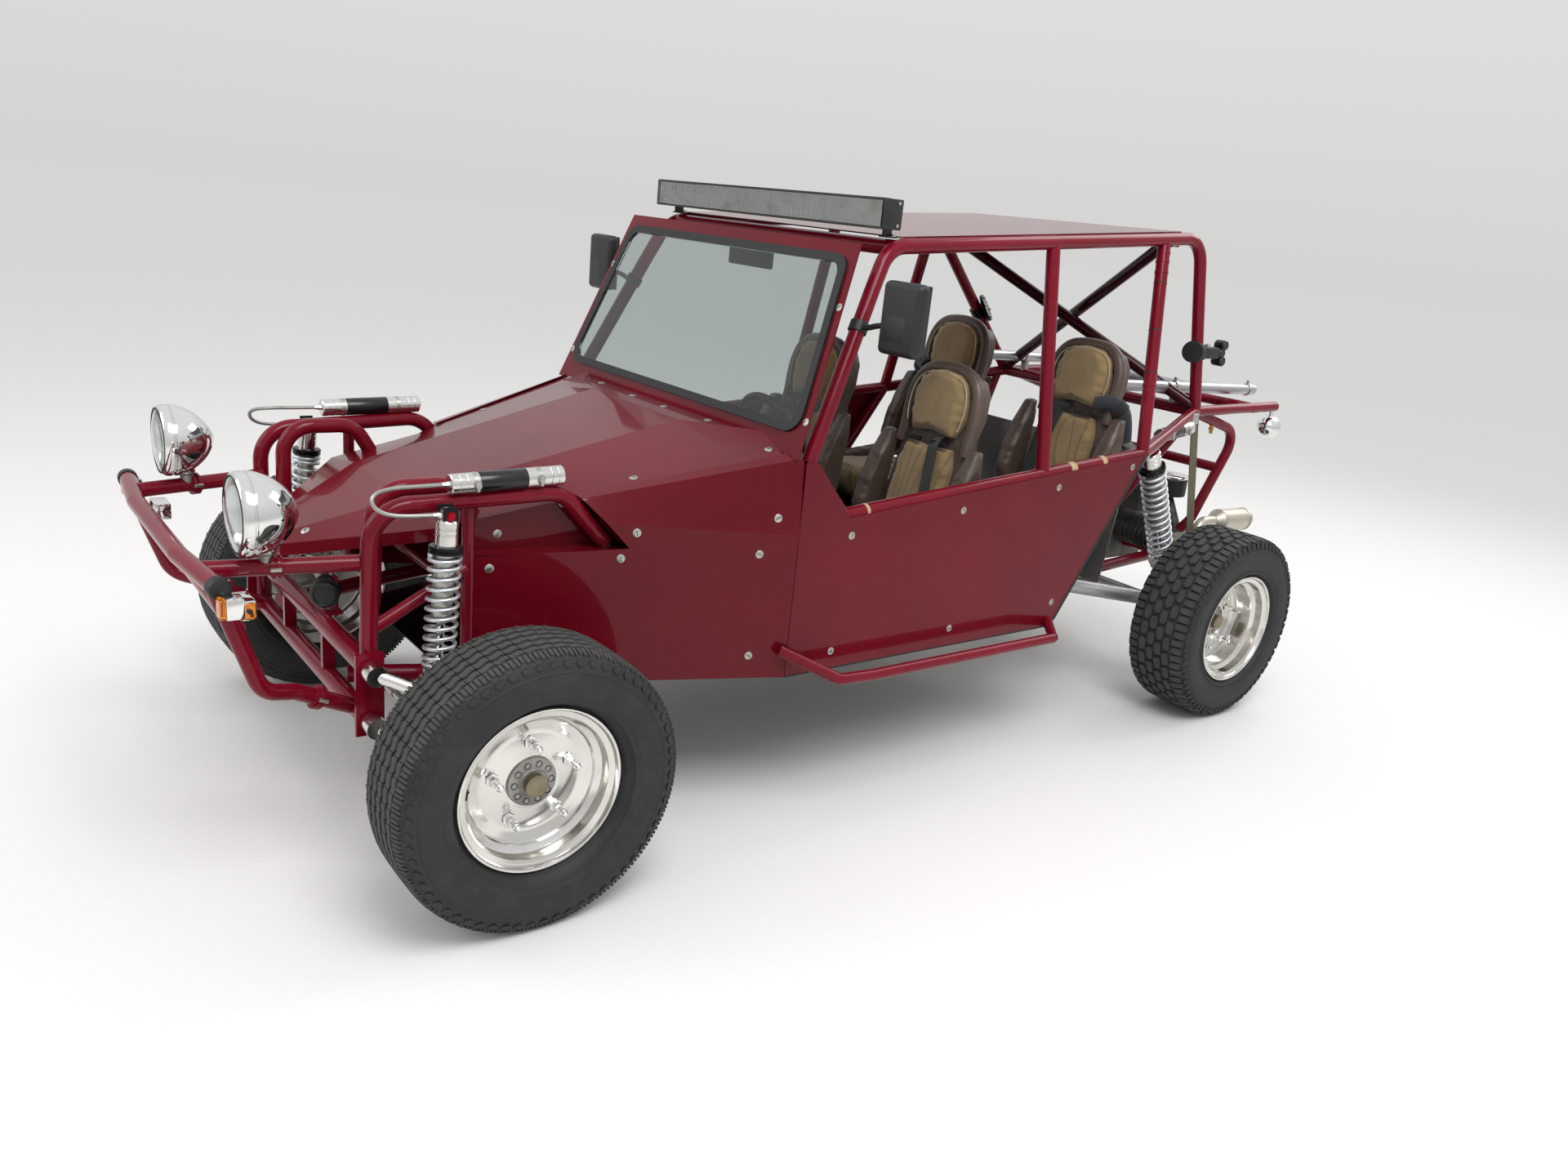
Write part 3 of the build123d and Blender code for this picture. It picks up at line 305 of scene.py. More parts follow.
@dataclass(frozen=True)
class SpunMetal(Finish):
    """Polished metal spun on a lathe: fine rings about an axle along Y, and a little road dust."""

    centre: Triple = (0.0, 0.0, 0.0)
    colour: str = "dcdad6"
    roughness: float = 0.09

    def lay(self, graph: Graph) -> None:
        """Rings by their distance from the axle, smears and specks."""
        reach = graph.reach(self.centre)
        fine = graph.node("ShaderNodeCombineXYZ", None, {0: reach * 900.0, 1: 0.0, 2: 0.0})
        rings = graph.noise(1.0, 3.0, 0.6, fine)
        smear = graph.noise(9.0, 5.0, 0.6).step(0.45, 0.8)
        specks = graph.noise(240.0, 2.0).step(0.62, 0.75)
        graph.surface(Base_Color=graph.mix(smear * 0.3 + specks * 0.12, tone(self.colour), tone("a59c8d")),
                      Metallic=1.0 - specks * 0.1, Roughness=self.roughness + rings * 0.07 + smear * 0.12,
                      Normal=graph.bump(rings, 0.00002, 0.5))


@dataclass(frozen=True)
class TyreRubber(Finish):
    """Worn tyre rubber, browner and duller where it meets the road."""

    centre: Triple = (0.0, 0.0, 0.0)

    def lay(self, graph: Graph) -> None:
        """Sidewall black, tread dust by the distance from the axle, grain and scuffs."""
        reach = graph.reach(self.centre)
        tread = reach.step(0.338, 0.352)
        cloud = graph.noise(18.0, 5.0, 0.65).step(0.35, 0.75)
        scuff = graph.noise(70.0, 4.0, 0.7).step(0.5, 0.8)
        dusty = tread * 0.55 + cloud * 0.22 + scuff * 0.1
        grain = graph.noise(900.0, 2.0)
        graph.surface(Base_Color=graph.mix(dusty, tone("17181a"), tone("4a4947")),
                      Roughness=0.62 + dusty * 0.3, Normal=graph.bump(grain + scuff, 0.00015, 0.5))


@dataclass(frozen=True)
class Polymer(Finish):
    """Moulded plastic or rubber with a fine texture and a touch of dust."""

    colour: str = "17181a"
    faded: str = "3a3a3b"
    roughness: float = 0.5
    texture: float = 500.0
    depth: float = 0.0001
    fade: float = 0.3

    def lay(self, graph: Graph) -> None:
        """Fading in clouds and a moulded texture."""
        cloud = graph.noise(12.0, 5.0, 0.6).step(0.35, 0.8)
        specks = graph.noise(160.0, 3.0).step(0.6, 0.8)
        grain = graph.noise(self.texture, 2.0)
        graph.surface(Base_Color=graph.mix(cloud * self.fade + specks * 0.1, tone(self.colour), tone(self.faded)),
                      Roughness=self.roughness + cloud * 0.15, Normal=graph.bump(grain, self.depth, 0.5))


@dataclass(frozen=True)
class Pane(Finish):
    """Laminated glass or a clear lens, with a faint tint and dust."""

    tint: str = "cfd8d6"
    roughness: float = 0.0

    def lay(self, graph: Graph) -> None:
        """A see-through body with a dust film that shows at the edges of wiped areas."""
        film = graph.noise(5.0, 6.0, 0.65).step(0.5, 0.9)
        graph.surface(Base_Color=graph.mix(film * 0.15, tone(self.tint), tone("a8a89f")),
                      Roughness=self.roughness + film * 0.06, Transmission_Weight=1.0, IOR=1.45)


@dataclass(frozen=True)
class Cloth(Finish):
    """Upholstery: suede with a fine nap, or grained vinyl."""

    colour: str = "8c7a5e"
    worn: str = "6b5c47"
    grain: float = 700.0
    depth: float = 0.0003
    roughness: float = 0.9
    sheen: float = 0.4
    waves: float = 0.0

    def lay(self, graph: Graph) -> None:
        """Nap or grain, wear in wide clouds, and embossed wavy lines where there are any."""
        cloud = graph.noise(9.0, 6.0, 0.65).step(0.35, 0.7)
        nap = graph.noise(self.grain, 3.0, 0.6)
        lines = graph.cells(self.grain * 0.6).step(0.0, 0.6)
        base = graph.mix(cloud * 0.7 + nap * 0.2, tone(self.colour), tone(self.worn))
        height = nap * 0.12 + lines * 0.12
        if self.waves:
            bent = graph.axis("Y") + graph.noise(3.2, 1.0, 0.4, graph.place((1.0, 1.6, 1.0))) * 0.16
            pressed = 1.0 - bent.wave(self.waves).step(0.0, 0.16)
            base = graph.mix(pressed * 0.45, base, tone("4d4130"))
            height = height - pressed * 0.7
        graph.surface(Base_Color=base, Roughness=self.roughness - cloud * 0.12, Sheen_Weight=self.sheen,
                      Normal=graph.bump(height, self.depth * 4.0, 0.5))


RED = Enamel("red_enamel")
RED_TUBE = Enamel("red_tube_enamel", colour="74091f", deep="640819", roughness=0.28, dust=0.1)
DARK_RED = Enamel("shaded_red_enamel", colour="3c0a14", deep="2c0810", roughness=0.3, dust=0.12)
BLACK = Enamel("black_enamel", colour="0c0c0e", deep="08080a", roughness=0.35, coat=0.5, dust=0.1)
CHROME = Metal("chrome_plate", colour="e4e4e2", dull="b3b0a8", roughness=0.03, spread=0.04, tarnish=0.12)
POLISHED = Metal("polished_alloy", colour="dad8d4", dull="a8a297", roughness=0.1, spread=0.1, tarnish=0.25)
CAST = Metal("cast_alloy", colour="a3a19c", dull="6f6a62", roughness=0.42, spread=0.15, tarnish=0.6)
OILY = Metal("oily_casting", colour="5f5d59", dull="2d2a26", roughness=0.5, spread=0.15, tarnish=0.75)
ZINC = Metal("zinc_plate", colour="b9b8b2", dull="857f70", roughness=0.28, spread=0.12, tarnish=0.45)
SPRING = Metal("spring_steel", colour="b4b4b2", dull="807e78", roughness=0.26, spread=0.08, tarnish=0.25)
STEEL = Metal("grey_steel", colour="7d7b77", dull="4c453e", roughness=0.4, spread=0.15, tarnish=0.6)
EXHAUST = Metal("exhaust_steel", colour="cbbfa6", dull="8a6f4d", roughness=0.42, spread=0.18, tarnish=0.65)
SEAL = Polymer("seal_rubber", colour="0c0c0d", faded="29292a", roughness=0.48, texture=300.0)
MOULDED = Polymer("black_moulding", colour="141517", faded="303133", roughness=0.45)
TRIM = Polymer("trim_board", colour="1a1a1b", faded="38352f", roughness=0.7, texture=260.0, depth=0.0003)
SLEEVE = Polymer("black_sleeve", colour="0d0d0f", faded="1f2022", roughness=0.22, texture=200.0, depth=0.00003)
BRAID = Metal("braided_steel", colour="a8a7a3", dull="6e6a62", roughness=0.34, spread=0.2, tarnish=0.5,
              grain=(700.0, 700.0, 700.0))
RED_BOLT = Metal("red_anodised", colour="a3182a", dull="6b1420", roughness=0.25, spread=0.1, tarnish=0.2)
TAPE = Polymer("dried_tape", colour="b09a78", faded="8a7350", roughness=0.7)
BRONZE = Metal("bronze_cap", colour="8f8570", dull="5d5546", roughness=0.3, spread=0.12, tarnish=0.4)
BRASS = Metal("brass", colour="c0964a", dull="7a5c30", roughness=0.25, spread=0.12, tarnish=0.4)
STRAP = Cloth("olive_webbing", colour="4a4430", worn="5c553f", grain=420.0, roughness=0.9, sheen=0.15)
GLASS = Pane("screen_glass", tint="b9c4c2")
AMBER = Pane("amber_lens", tint="f08a1c", roughness=0.12)
RUBY = Pane("red_lens", tint="c01420", roughness=0.1)
LENS = Pane("lamp_lens", tint="e6eaea", roughness=0.02)
SUEDE = Cloth("tan_suede", colour="9a8158", worn="7a6545")
EMBOSSED = Cloth("embossed_suede", colour="957c54", worn="766142", waves=0.034)
VINYL = Cloth("brown_vinyl", colour="4b3d35", worn="5c4c42", grain=380.0, roughness=0.48, sheen=0.05)
THREAD = Cloth("pale_thread", colour="c9bda0", worn="a89878", grain=900.0)
PADDING = Cloth("navy_padding", colour="23262e", worn="30343c", grain=520.0, roughness=0.85, sheen=0.2)
WEBBING = Cloth("black_webbing", colour="131314", worn="2b2a29", grain=520.0, roughness=0.85, sheen=0.2)

NODE_FINISHES: dict[Finish, str] = {
    RED: "hood front_panel_left front_panel_right shoulder_panel_left shoulder_panel_right cabin_panel_left "
         "cabin_panel_right windscreen_surround roof_panel",
    RED_TUBE: "roll_cage front_hoops bumper side_bars rear_frame lower_frame front_beam",
    DARK_RED: "rear_brace",
    BLACK: "belly_pan clamp_plate",
    CHROME: "headlamps small_lamps",
    POLISHED: "front_arms rim_front_left rim_front_right rim_rear_left rim_rear_right front_reservoirs "
              "rear_reservoirs front_shocks rear_shocks",
    CAST: "knuckle_left knuckle_right",
    OILY: "engine transaxle",
    ZINC: "steering_rack tie_rods",
    SPRING: "front_springs rear_springs",
    STEEL: "rear_arms half_shafts rear_rack steering_column firewall",
    EXHAUST: "exhaust",
    SEAL: "windscreen_seal",
    MOULDED: "mirrors light_bar steering_wheel",
    STRAP: "limit_straps",
    TRIM: "dashboard seat_mounts",
    GLASS: "windscreen_glass",
    VINYL: "seat_front_left seat_front_right seat_rear_left seat_rear_right",
}


def dress_nodes() -> None:
    """Gives every CAD node its finish."""
    for finish, names in NODE_FINISHES.items():
        for name in names.split():
            slots = frame["nodes"][name].material_slots
            for k in range(len(slots)):
                slots[k].material = finish.material()
    log.info("CAD nodes dressed")


# ---- modelling steps


class Shade(Enum):
    """Faces that meet at less than this many degrees are shaded smooth."""

    CRISP = 35.0
    EVEN = 40.0
    SOFT = 50.0
    PADDED = 60.0


class Bench:
    """The steps that the pieces share, each made with Blender's own operators."""

    @staticmethod
    def clear() -> None:
        """Leaves edit mode and deselects everything."""
        if bpy.context.object and bpy.context.object.mode != "OBJECT":
            bpy.ops.object.mode_set(mode="OBJECT")
        bpy.ops.object.select_all(action="DESELECT")

    @staticmethod
    def edit(obj: Part) -> None:
        """Opens one object in edit mode with all of it selected."""
        Bench.clear()
        bpy.context.view_layer.objects.active = obj
        obj.select_set(True)
        bpy.ops.object.mode_set(mode="EDIT")
        bpy.ops.mesh.select_all(action="SELECT")

    @staticmethod
    def heal(obj: Part, reach: float = 1e-5) -> Part:
        """Merges doubles and turns every face outwards."""
        Bench.edit(obj)
        bpy.ops.mesh.remove_doubles(threshold=reach)
        bpy.ops.mesh.normals_make_consistent(inside=False)
        bpy.ops.object.mode_set(mode="OBJECT")
        return obj

    @staticmethod
    def turned(profile: Sequence[tuple[float, float]], sides: int = 48) -> Part:
        """A turned piece about Z: a ring extruded and scaled along its profile.

        Args:
            profile: Radius and height of each ring, in millimetres.
            sides: Points in a ring.

        Returns:
            The piece, open where the profile is.
        """
        Bench.clear()
        radius, height = max(profile[0][0], 0.01), profile[0][1]
        bpy.ops.mesh.primitive_circle_add(vertices=sides, radius=radius * MM, location=(0, 0, height * MM))
        obj = bpy.context.object
        bpy.ops.object.transform_apply(location=True)
        bpy.ops.object.mode_set(mode="EDIT")
        bpy.ops.mesh.select_all(action="SELECT")
        for wide, high in profile[1:]:
            wide = max(wide, 0.01)
            bpy.ops.mesh.extrude_region_move(TRANSFORM_OT_translate={"value": (0, 0, (high - height) * MM)})
            if wide != radius:
                ratio = wide / radius
                bpy.ops.transform.resize(value=(ratio, ratio, 1), center_override=(0, 0, high * MM))
            radius, height = wide, high
        return Bench.heal(obj)

    @staticmethod
    def slab(low: Point, high: Point, soft: float = 0.0, rounds: int = 2) -> Part:
        """A block between two corners in metres, its edges softened by a bevel in metres."""
        Bench.clear()
        low, high = Vector(low), Vector(high)
        bpy.ops.mesh.primitive_cube_add(size=1, location=(low + high) / 2, scale=high - low)
        bpy.ops.object.transform_apply(location=True, scale=True)
        if soft:
            Bench.edit(bpy.context.object)
            bpy.ops.mesh.bevel(offset=soft, segments=rounds, affect="EDGES")
            bpy.ops.object.mode_set(mode="OBJECT")
        return bpy.context.object

    @staticmethod
    def box(spot: Vector, low: Point, high: Point, soft: float, rounds: int = 2) -> Part:
        """A softened block whose corners are given from a spot, all in metres."""
        return Bench.slab(spot + Vector(low), spot + Vector(high), soft, rounds)

    @staticmethod
    def outline(points: Sequence[tuple[float, float]], depth: float) -> Part:
        """A flat outline in XY, in millimetres, extruded along Z."""
        Bench.clear()
        bpy.ops.mesh.primitive_circle_add(vertices=len(points), radius=1, fill_type="NGON")
        obj = bpy.context.object
        for corner, (x, y) in zip(obj.data.vertices, points):
            corner.co = (x * MM, y * MM, 0)
        Bench.edit(obj)
        bpy.ops.mesh.extrude_region_move(TRANSFORM_OT_translate={"value": (0, 0, depth * MM)})
        return Bench.heal(obj)

    @staticmethod
    def run(points: Sequence[Point], radius: float, smooth: bool = True, sides: int = 3,
            closed: bool = False) -> Part:
        """A round bar, wire or hose along points in metres, made from a path.

        Args:
            points: The control points of a smooth run, or the corners of a straight one.
            radius: In metres.
            smooth: Whether the run flows past its points.
            sides: The path's bevel resolution.
            closed: Whether it ends where it starts.

        Returns:
            The run as a mesh.
        """
        Bench.clear()
        bpy.ops.curve.primitive_nurbs_path_add()
        obj = bpy.context.object
        curve = obj.data
        curve.splines.clear()
        spline = curve.splines.new("NURBS" if smooth else "POLY")
        spline.points.add(len(points) - 1)
        for knot, p in zip(spline.points, points):
            knot.co = (*p, 1.0)
        if smooth:
            spline.order_u = 3
            spline.use_endpoint_u = not closed
            spline.resolution_u = 8
        spline.use_cyclic_u = closed
        curve.dimensions = "3D"
        curve.bevel_depth = radius
        curve.bevel_resolution = sides
        curve.use_fill_caps = not closed
        bpy.ops.object.convert(target="MESH")
        return Bench.heal(bpy.context.object)

    @staticmethod
    def aim(obj: Part, place: Point, axis: Point = (0, 0, 1), roll: float = 0.0) -> Part:
        """Turns a piece made about Z to an axis, moves it to its place, and applies both."""
        Bench.clear()
        turn = Vector(axis).to_track_quat("Z", "Y").to_matrix().to_4x4() @ Matrix.Rotation(roll, 4, "Z")
        obj.matrix_world = Matrix.Translation(place) @ turn
        obj.select_set(True)
        bpy.context.view_layer.objects.active = obj
        bpy.ops.object.transform_apply(location=True, rotation=True, scale=True)
        return obj

    @staticmethod
    def framed(obj: Part, place: Point, along: Point, across: Point = (0, 0, 1)) -> Part:
        """Turns a piece so that its Z runs along one direction and its X leans to another, and moves it."""
        up = Vector(along).normalized()
        side = up.cross(Vector(across)).normalized()
        turn = Matrix((side.cross(up), side, up)).transposed().to_4x4()
        obj.data.transform(Matrix.Translation(place) @ turn)
        return obj

    @staticmethod
    def ribbon(points: Sequence[Point], across: Point, width: float, thick: float) -> Part:
        """A flat strap along points, all in metres, its width along one direction."""
        Bench.clear()
        steps = len(points) - 1
        bpy.ops.mesh.primitive_grid_add(x_subdivisions=steps, y_subdivisions=1, size=1)
        obj = bpy.context.object
        side = Vector(across).normalized() * width
        for corner in obj.data.vertices:
            spot = Vector(points[round((corner.co.x + 0.5) * steps)])
            corner.co = spot + side * (0.5 if corner.co.y > 0 else -0.5)
        return Bench.heal(Bench.modified(obj, "SOLIDIFY", thickness=thick, offset=0.0))

    @staticmethod
    def moved(obj: Part, place: Point) -> Part:
        """Moves a piece's mesh."""
        obj.data.transform(Matrix.Translation(place))
        return obj

    @staticmethod
    def pair(parts: Sequence[Part]) -> list[Part]:
        """The parts and their mirror images."""
        return list(parts) + [Bench.mirrored(part) for part in parts]

    @staticmethod
    def row(obj: Part, count: int, step: Point) -> Part:
        """Repeats a piece along a line, joined to one mesh."""
        return Bench.modified(obj, "ARRAY", count=count, use_relative_offset=False, use_constant_offset=True,
                              constant_offset_displace=step)

    @staticmethod
    def rod(start: Point, end: Point, radius: float, soft: float = 0.0, sides: int = 24) -> Part:
        """A straight bar between two points, its ends eased by a bevel, in metres."""
        start, end = Vector(start), Vector(end)
        long, r, s = (end - start).length / MM, radius / MM, soft / MM
        profile = [(0, 0), (r - s, 0), (r, s), (r, long - s), (r - s, long), (0, long)]
        return Bench.aim(Bench.turned(profile, sides), start, end - start)

    @staticmethod
    def mirrored(obj: Part) -> Part:
        """A copy on the other side of the car, with its own mesh."""
        Bench.clear()
        twin = obj.copy()
        twin.data = obj.data.copy()
        bpy.context.scene.collection.objects.link(twin)
        twin.data.transform(Matrix.Scale(-1, 4, (0, 1, 0)))
        twin.data.flip_normals()
        return twin

    @staticmethod
    def copied(obj: Part, move: Matrix) -> Part:
        """A moved copy with its own mesh."""
        twin = obj.copy()
        twin.data = obj.data.copy()
        bpy.context.scene.collection.objects.link(twin)
        twin.data.transform(move)
        return twin

    @staticmethod
    def coated(obj: Part, finish: Finish) -> Part:
        """Gives all of a piece one finish."""
        obj.data.materials.clear()
        obj.data.materials.append(finish.material())
        return obj

    @staticmethod
    def dressed(*pairs: tuple[Part, Finish]) -> list[Part]:
        """Several pieces, each with its finish."""
        return [Bench.coated(part, finish) for part, finish in pairs]

    @staticmethod
    def joined(parts: Sequence[Part]) -> Part:
        """Several objects as one, each part with its own finish."""
        Bench.clear()
        for part in parts:
            part.select_set(True)
        bpy.context.view_layer.objects.active = parts[0]
        if len(parts) > 1:
            bpy.ops.object.join()
        return bpy.context.object

    @staticmethod
    def modified(obj: Part, kind: str, **settings: object) -> Part:
        """Adds a modifier and applies it."""
        Bench.clear()
        obj.select_set(True)
        bpy.context.view_layer.objects.active = obj
        modifier = obj.modifiers.new(kind, kind)
        for key, value in settings.items():
            setattr(modifier, key, value)
        bpy.ops.object.modifier_apply(modifier=modifier.name)
        return obj

    @staticmethod
    def seated(pattern: Part, nodes: str, start: Point, aim: Point, roll: float) -> Part:
        """A copy of a small piece made about Z, seated where a line first meets a panel.

        Args:
            pattern: The piece, with its foot at the origin.
            nodes: The CAD nodes that the line may meet.
            start: Where the line starts.
            aim: Its direction.
            roll: The turn of the copy about its own axis.

        Returns:
            The copy, square to the panel.
        """
        hits = [frame["nodes"][name].ray_cast(Vector(start), Vector(aim)) for name in nodes.split()]
        spot, normal = min(((h[1], h[2]) for h in hits if h[0]), key=lambda h: (h[0] - Vector(start)).length)
        if normal.dot(Vector(aim)) > 0:
            normal = -normal
        copy = Bench.copied(pattern, Matrix.Rotation(roll, 4, "Z"))
        return Bench.framed(copy, spot, normal, (1, 0, 0) if abs(normal.x) < 0.8 else (0, 1, 0))

    @staticmethod
    def collar(start: Point, end: Point, share: float, radius: float, length: float) -> Part:
        """A short sleeve at a share of the way along a tube, its sizes in millimetres."""
        start, end = Vector(start), Vector(end)
        spot, way = start.lerp(end, share), (end - start).normalized()
        half = way * (length / 2 * MM)
        return Bench.rod(spot - half, spot + half, radius * MM, 0.0008, 32)

    @staticmethod
    def drop(obj: Part) -> None:
        """Removes a pattern once its copies are made."""
        Bench.clear()
        obj.select_set(True)
        bpy.ops.object.delete()

    @staticmethod
    def piece(name: str, parts: Sequence[Part], slot: str, replaced: Sequence[str] = (),
              shade: Shade = Shade.EVEN, body: str = "chassis") -> Part:
        """Joins the parts into a finished piece.

        Args:
            name: The piece's name.
            parts: Its parts, already dressed.
            slot: The record's material slot. Not used.
            replaced: CAD nodes that it stands for.
            shade: Where its faces are shaded smooth.
            body: The CAD body that it moves with.

        Returns:
            The piece.
        """
        obj = Bench.joined(parts)
        obj.name = name
        obj.data.name = name
        Bench.clear()
        obj.select_set(True)
        bpy.context.view_layer.objects.active = obj
        bpy.ops.object.shade_smooth_by_angle(angle=math.radians(shade.value))
        Bench.clear()
        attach(obj, body)
        if replaced:
            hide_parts(*replaced)
        log.info("%s: %d faces", name, len(obj.data.polygons))
        return obj


# ---- wheels


class Tread(Enum):
    """The two kinds of tyre on the buggy."""

    RIBBED = "ribbed"
    LUGGED = "lugged"


@dataclass
class Wheel:
    """One wheel: its tyre, its spun rim and what is bolted to it."""

    name: str
    centre: Triple
    side: int
    tread: Tread
    rim_half: float
    tyre_half: float
    disc_out: float
    radius: float = 356.0
    lip: float = 207.0
    seat: float = 190.0
    groove: float = 8.0

    def build(self) -> None:
        """Makes the tyre and the rim, and puts them on their body."""
        body = "wheel_" + self.name
        rubber = TyreRubber("tyre_rubber_" + self.name, centre=self.centre)
        parts = [self._carcass()]
        parts += self._ribs() if self.tread is Tread.RIBBED else self._lugs()
        tyre = Bench.coated(Bench.joined(parts), rubber)
        self._seat(tyre)
        Bench.piece("tread_" + self.name, [tyre], "tyre_black", ["tyre_" + self.name], Shade.CRISP, body)
        spun = SpunMetal("spun_alloy_" + self.name, centre=self.centre)
        rim = Bench.joined([Bench.coated(self._barrel(), spun)] + self._hub())
        self._seat(rim)
        Bench.piece("wheel_" + self.name, [rim], "polished_aluminium", ["rim_" + self.name], Shade.CRISP, body)

    def _seat(self, obj: Part) -> None:
        """Turns a piece made about Z, with its outer face up, onto its axle."""
        Bench.aim(obj, self.centre, (0, self.side, 0))

    def _carcass(self) -> Part:
        """The sidewalls and the floor of the grooves, as one closed ring."""
        half, rim, floor = self.tyre_half, self.rim_half, self.radius - self.groove
        seat, lip = self.seat, self.lip
        outer = [
            (seat + 1.5, rim - 13), (seat + 8, rim - 11.5), (lip + 2.5, rim - 9.5), (lip + 7, rim - 4),
            (lip + 11, rim + 3), (lip + 13, rim + 8), (lip + 16, rim + 10), (lip + 24, half - 8), (246, half - 3.4),
            (247.5, half - 2.2), (249.5, half - 2.2), (251, half - 3), (266, half - 0.8), (282, half),
            (296, half - 0.8), (305, half - 1.8), (306.5, half - 0.6), (308.5, half - 0.6), (310, half - 2.4),
            (322, half - 5.4), (332, half - 9), (340, half - 13.5), (floor - 3, half - 20), (floor, half - 30),
        ]
        profile = outer + [(r, -y) for r, y in reversed(outer)]
        inner = [(seat + 5, -rim + 40), (282, -half + 14), (self.radius - 20, -half + 30)]
        profile += inner + [(r, -y) for r, y in reversed(inner)] + [outer[0]]
        return Bench.turned(profile, 120)

    def _wrapped(self, points: Sequence[tuple[float, float]], low: float, high: float,
                 drop: Callable[[float], float]) -> Part:
        """A tread block: an outline along the tread and across it, raised from low to high and wrapped round.

        Args:
            points: Along the circumference and across the tread, in millimetres.
            low: The block's root, as a radius.
            high: The block's top, as a radius.
            drop: How much lower the tyre is at a place across the tread.

        Returns:
            The block at the top of the tyre, about Z as its axle.
        """
        block = Bench.outline(points, high - low)
        for corner in block.data.vertices:
            x, y, z = corner.co / MM
            reach = low + z - drop(y)
            turn = x / self.radius
            corner.co = Vector((reach * math.sin(turn), reach * math.cos(turn), y)) * MM
        return Bench.heal(block)

    def _around(self, blocks: Sequence[Part], count: int) -> Part:
        """One pitch of blocks, repeated all round the tyre."""
        pitch = Bench.joined(blocks)
        Bench.edit(pitch)
        bpy.ops.mesh.spin(steps=count - 1, dupli=True, angle=2 * math.pi * (count - 1) / count,
                          center=(0, 0, 0), axis=(0, 0, 1))
        bpy.ops.mesh.normals_make_consistent(inside=False)
        bpy.ops.object.mode_set(mode="OBJECT")
        return pitch

    def _crown(self, y: float) -> float:
        """How far the tread falls away from its middle."""
        edge = self.tyre_half - 30
        over = max(0.0, abs(y) - edge)
        return 3.0 * (y / self.tyre_half) ** 2 + 0.022 * over * over

    def _ribs(self) -> list[Part]:
        """Zigzag ribs round the crown and slotted ribs over the shoulders."""
        count = 62
        pitch = 2 * math.pi * self.radius / count
        half = self.tyre_half
        low, high = self.radius - self.groove - 2, self.radius
        blocks = []
        for middle, wide in ((0.0, 19.0), (31.0, 19.0), (-31.0, 19.0), (60.0, 17.0), (-60.0, 17.0)):
            zig, gap = 3.2, 1.1
            e, q = wide / 2, pitch / 4
            blocks.append(self._wrapped([
                (-2 * q + gap, middle - e), (-q, middle - e + zig), (0, middle - e), (q, middle - e - zig),
                (2 * q - gap, middle - e), (2 * q - gap, middle + e), (q, middle + e - zig), (0, middle + e),
                (-q, middle + e + zig), (-2 * q + gap, middle + e)], low, high, self._crown))
        for sign in (1, -1):
            for k in range(3):
                along = (k - 1) * pitch / 3
                wide = pitch / 3 - (2.6 if k else 4.6)
                near, far = half - 38, half - 13 - (4 if k == 1 else 0)
                blocks.append(self._wrapped([
                    (along - wide / 2, sign * near), (along + wide / 2, sign * near),
                    (along + wide / 2 - 0.6, sign * far), (along - wide / 2 + 0.6, sign * far)],
                    low - 4, high - 0.6, self._crown))
        rows = self._around(blocks, count)
        return [rows] + self._side_lugs(count, 321, 335, 2.2)

    def _lugs(self) -> list[Part]:
        """Four staggered rows of chunky blocks and long shoulder lugs."""
        count = 36
        pitch = 2 * math.pi * self.radius / count
        low, high = self.radius - self.groove - 6, self.radius
        blocks = []
        for row, middle in enumerate((-51.0, -17.0, 17.0, 51.0)):
            shift = pitch / 2 if row % 2 else 0.0
            w, l = 13.0, pitch / 2 - 5.5
            blocks.append(self._wrapped([
                (shift - l, middle - w * 0.2), (shift - l * 0.55, middle - w), (shift + l * 0.75, middle - w),
                (shift + l, middle - w * 0.1), (shift + l * 0.55, middle + w), (shift - l * 0.75, middle + w)],
                low, high, self._crown))
        half = self.tyre_half
        for sign in (1, -1):
            for k, (near, far) in enumerate(((half - 54, half - 12), (half - 50, half - 17))):
                along = (k - 0.5) * pitch / 2
                l = pitch / 4 - 4.0
                blocks.append(self._wrapped([
                    (along - l * 0.8, sign * near), (along + l * 0.8, sign * near), (along + l, sign * (near + 14)),
                    (along + l, sign * far), (along - l, sign * far), (along - l, sign * (near + 14))],
                    low - 4, high - 0.4, self._crown))
        rows = self._around(blocks, count)
        return [rows] + self._side_lugs(count * 2, 318, 338, 3.4)

    def _side_lugs(self, count: int, low: float, high: float, proud: float) -> list[Part]:
        """Short radial lugs on both sidewalls below the shoulder."""
        wide = math.pi * self.radius / count * 0.6
        made = []
        for sign in (1, -1):
            lug = Bench.outline([(-wide, low + 5), (-wide * 0.3, low), (wide * 0.5, low + 3), (wide, low + 7),
                                 (wide * 0.9, high), (-wide * 0.9, high)], 11.0)
            lean = math.atan2(12.0, high - low)
            for corner in lug.data.vertices:
                x, y, z = corner.co / MM
                fall = (y - low) * math.tan(lean) * 0.55
                corner.co = Vector((x, y, sign * (self.tyre_half - 14.5 + z + proud - fall))) * MM
            made.append(self._around([Bench.heal(lug)], count))
        return made

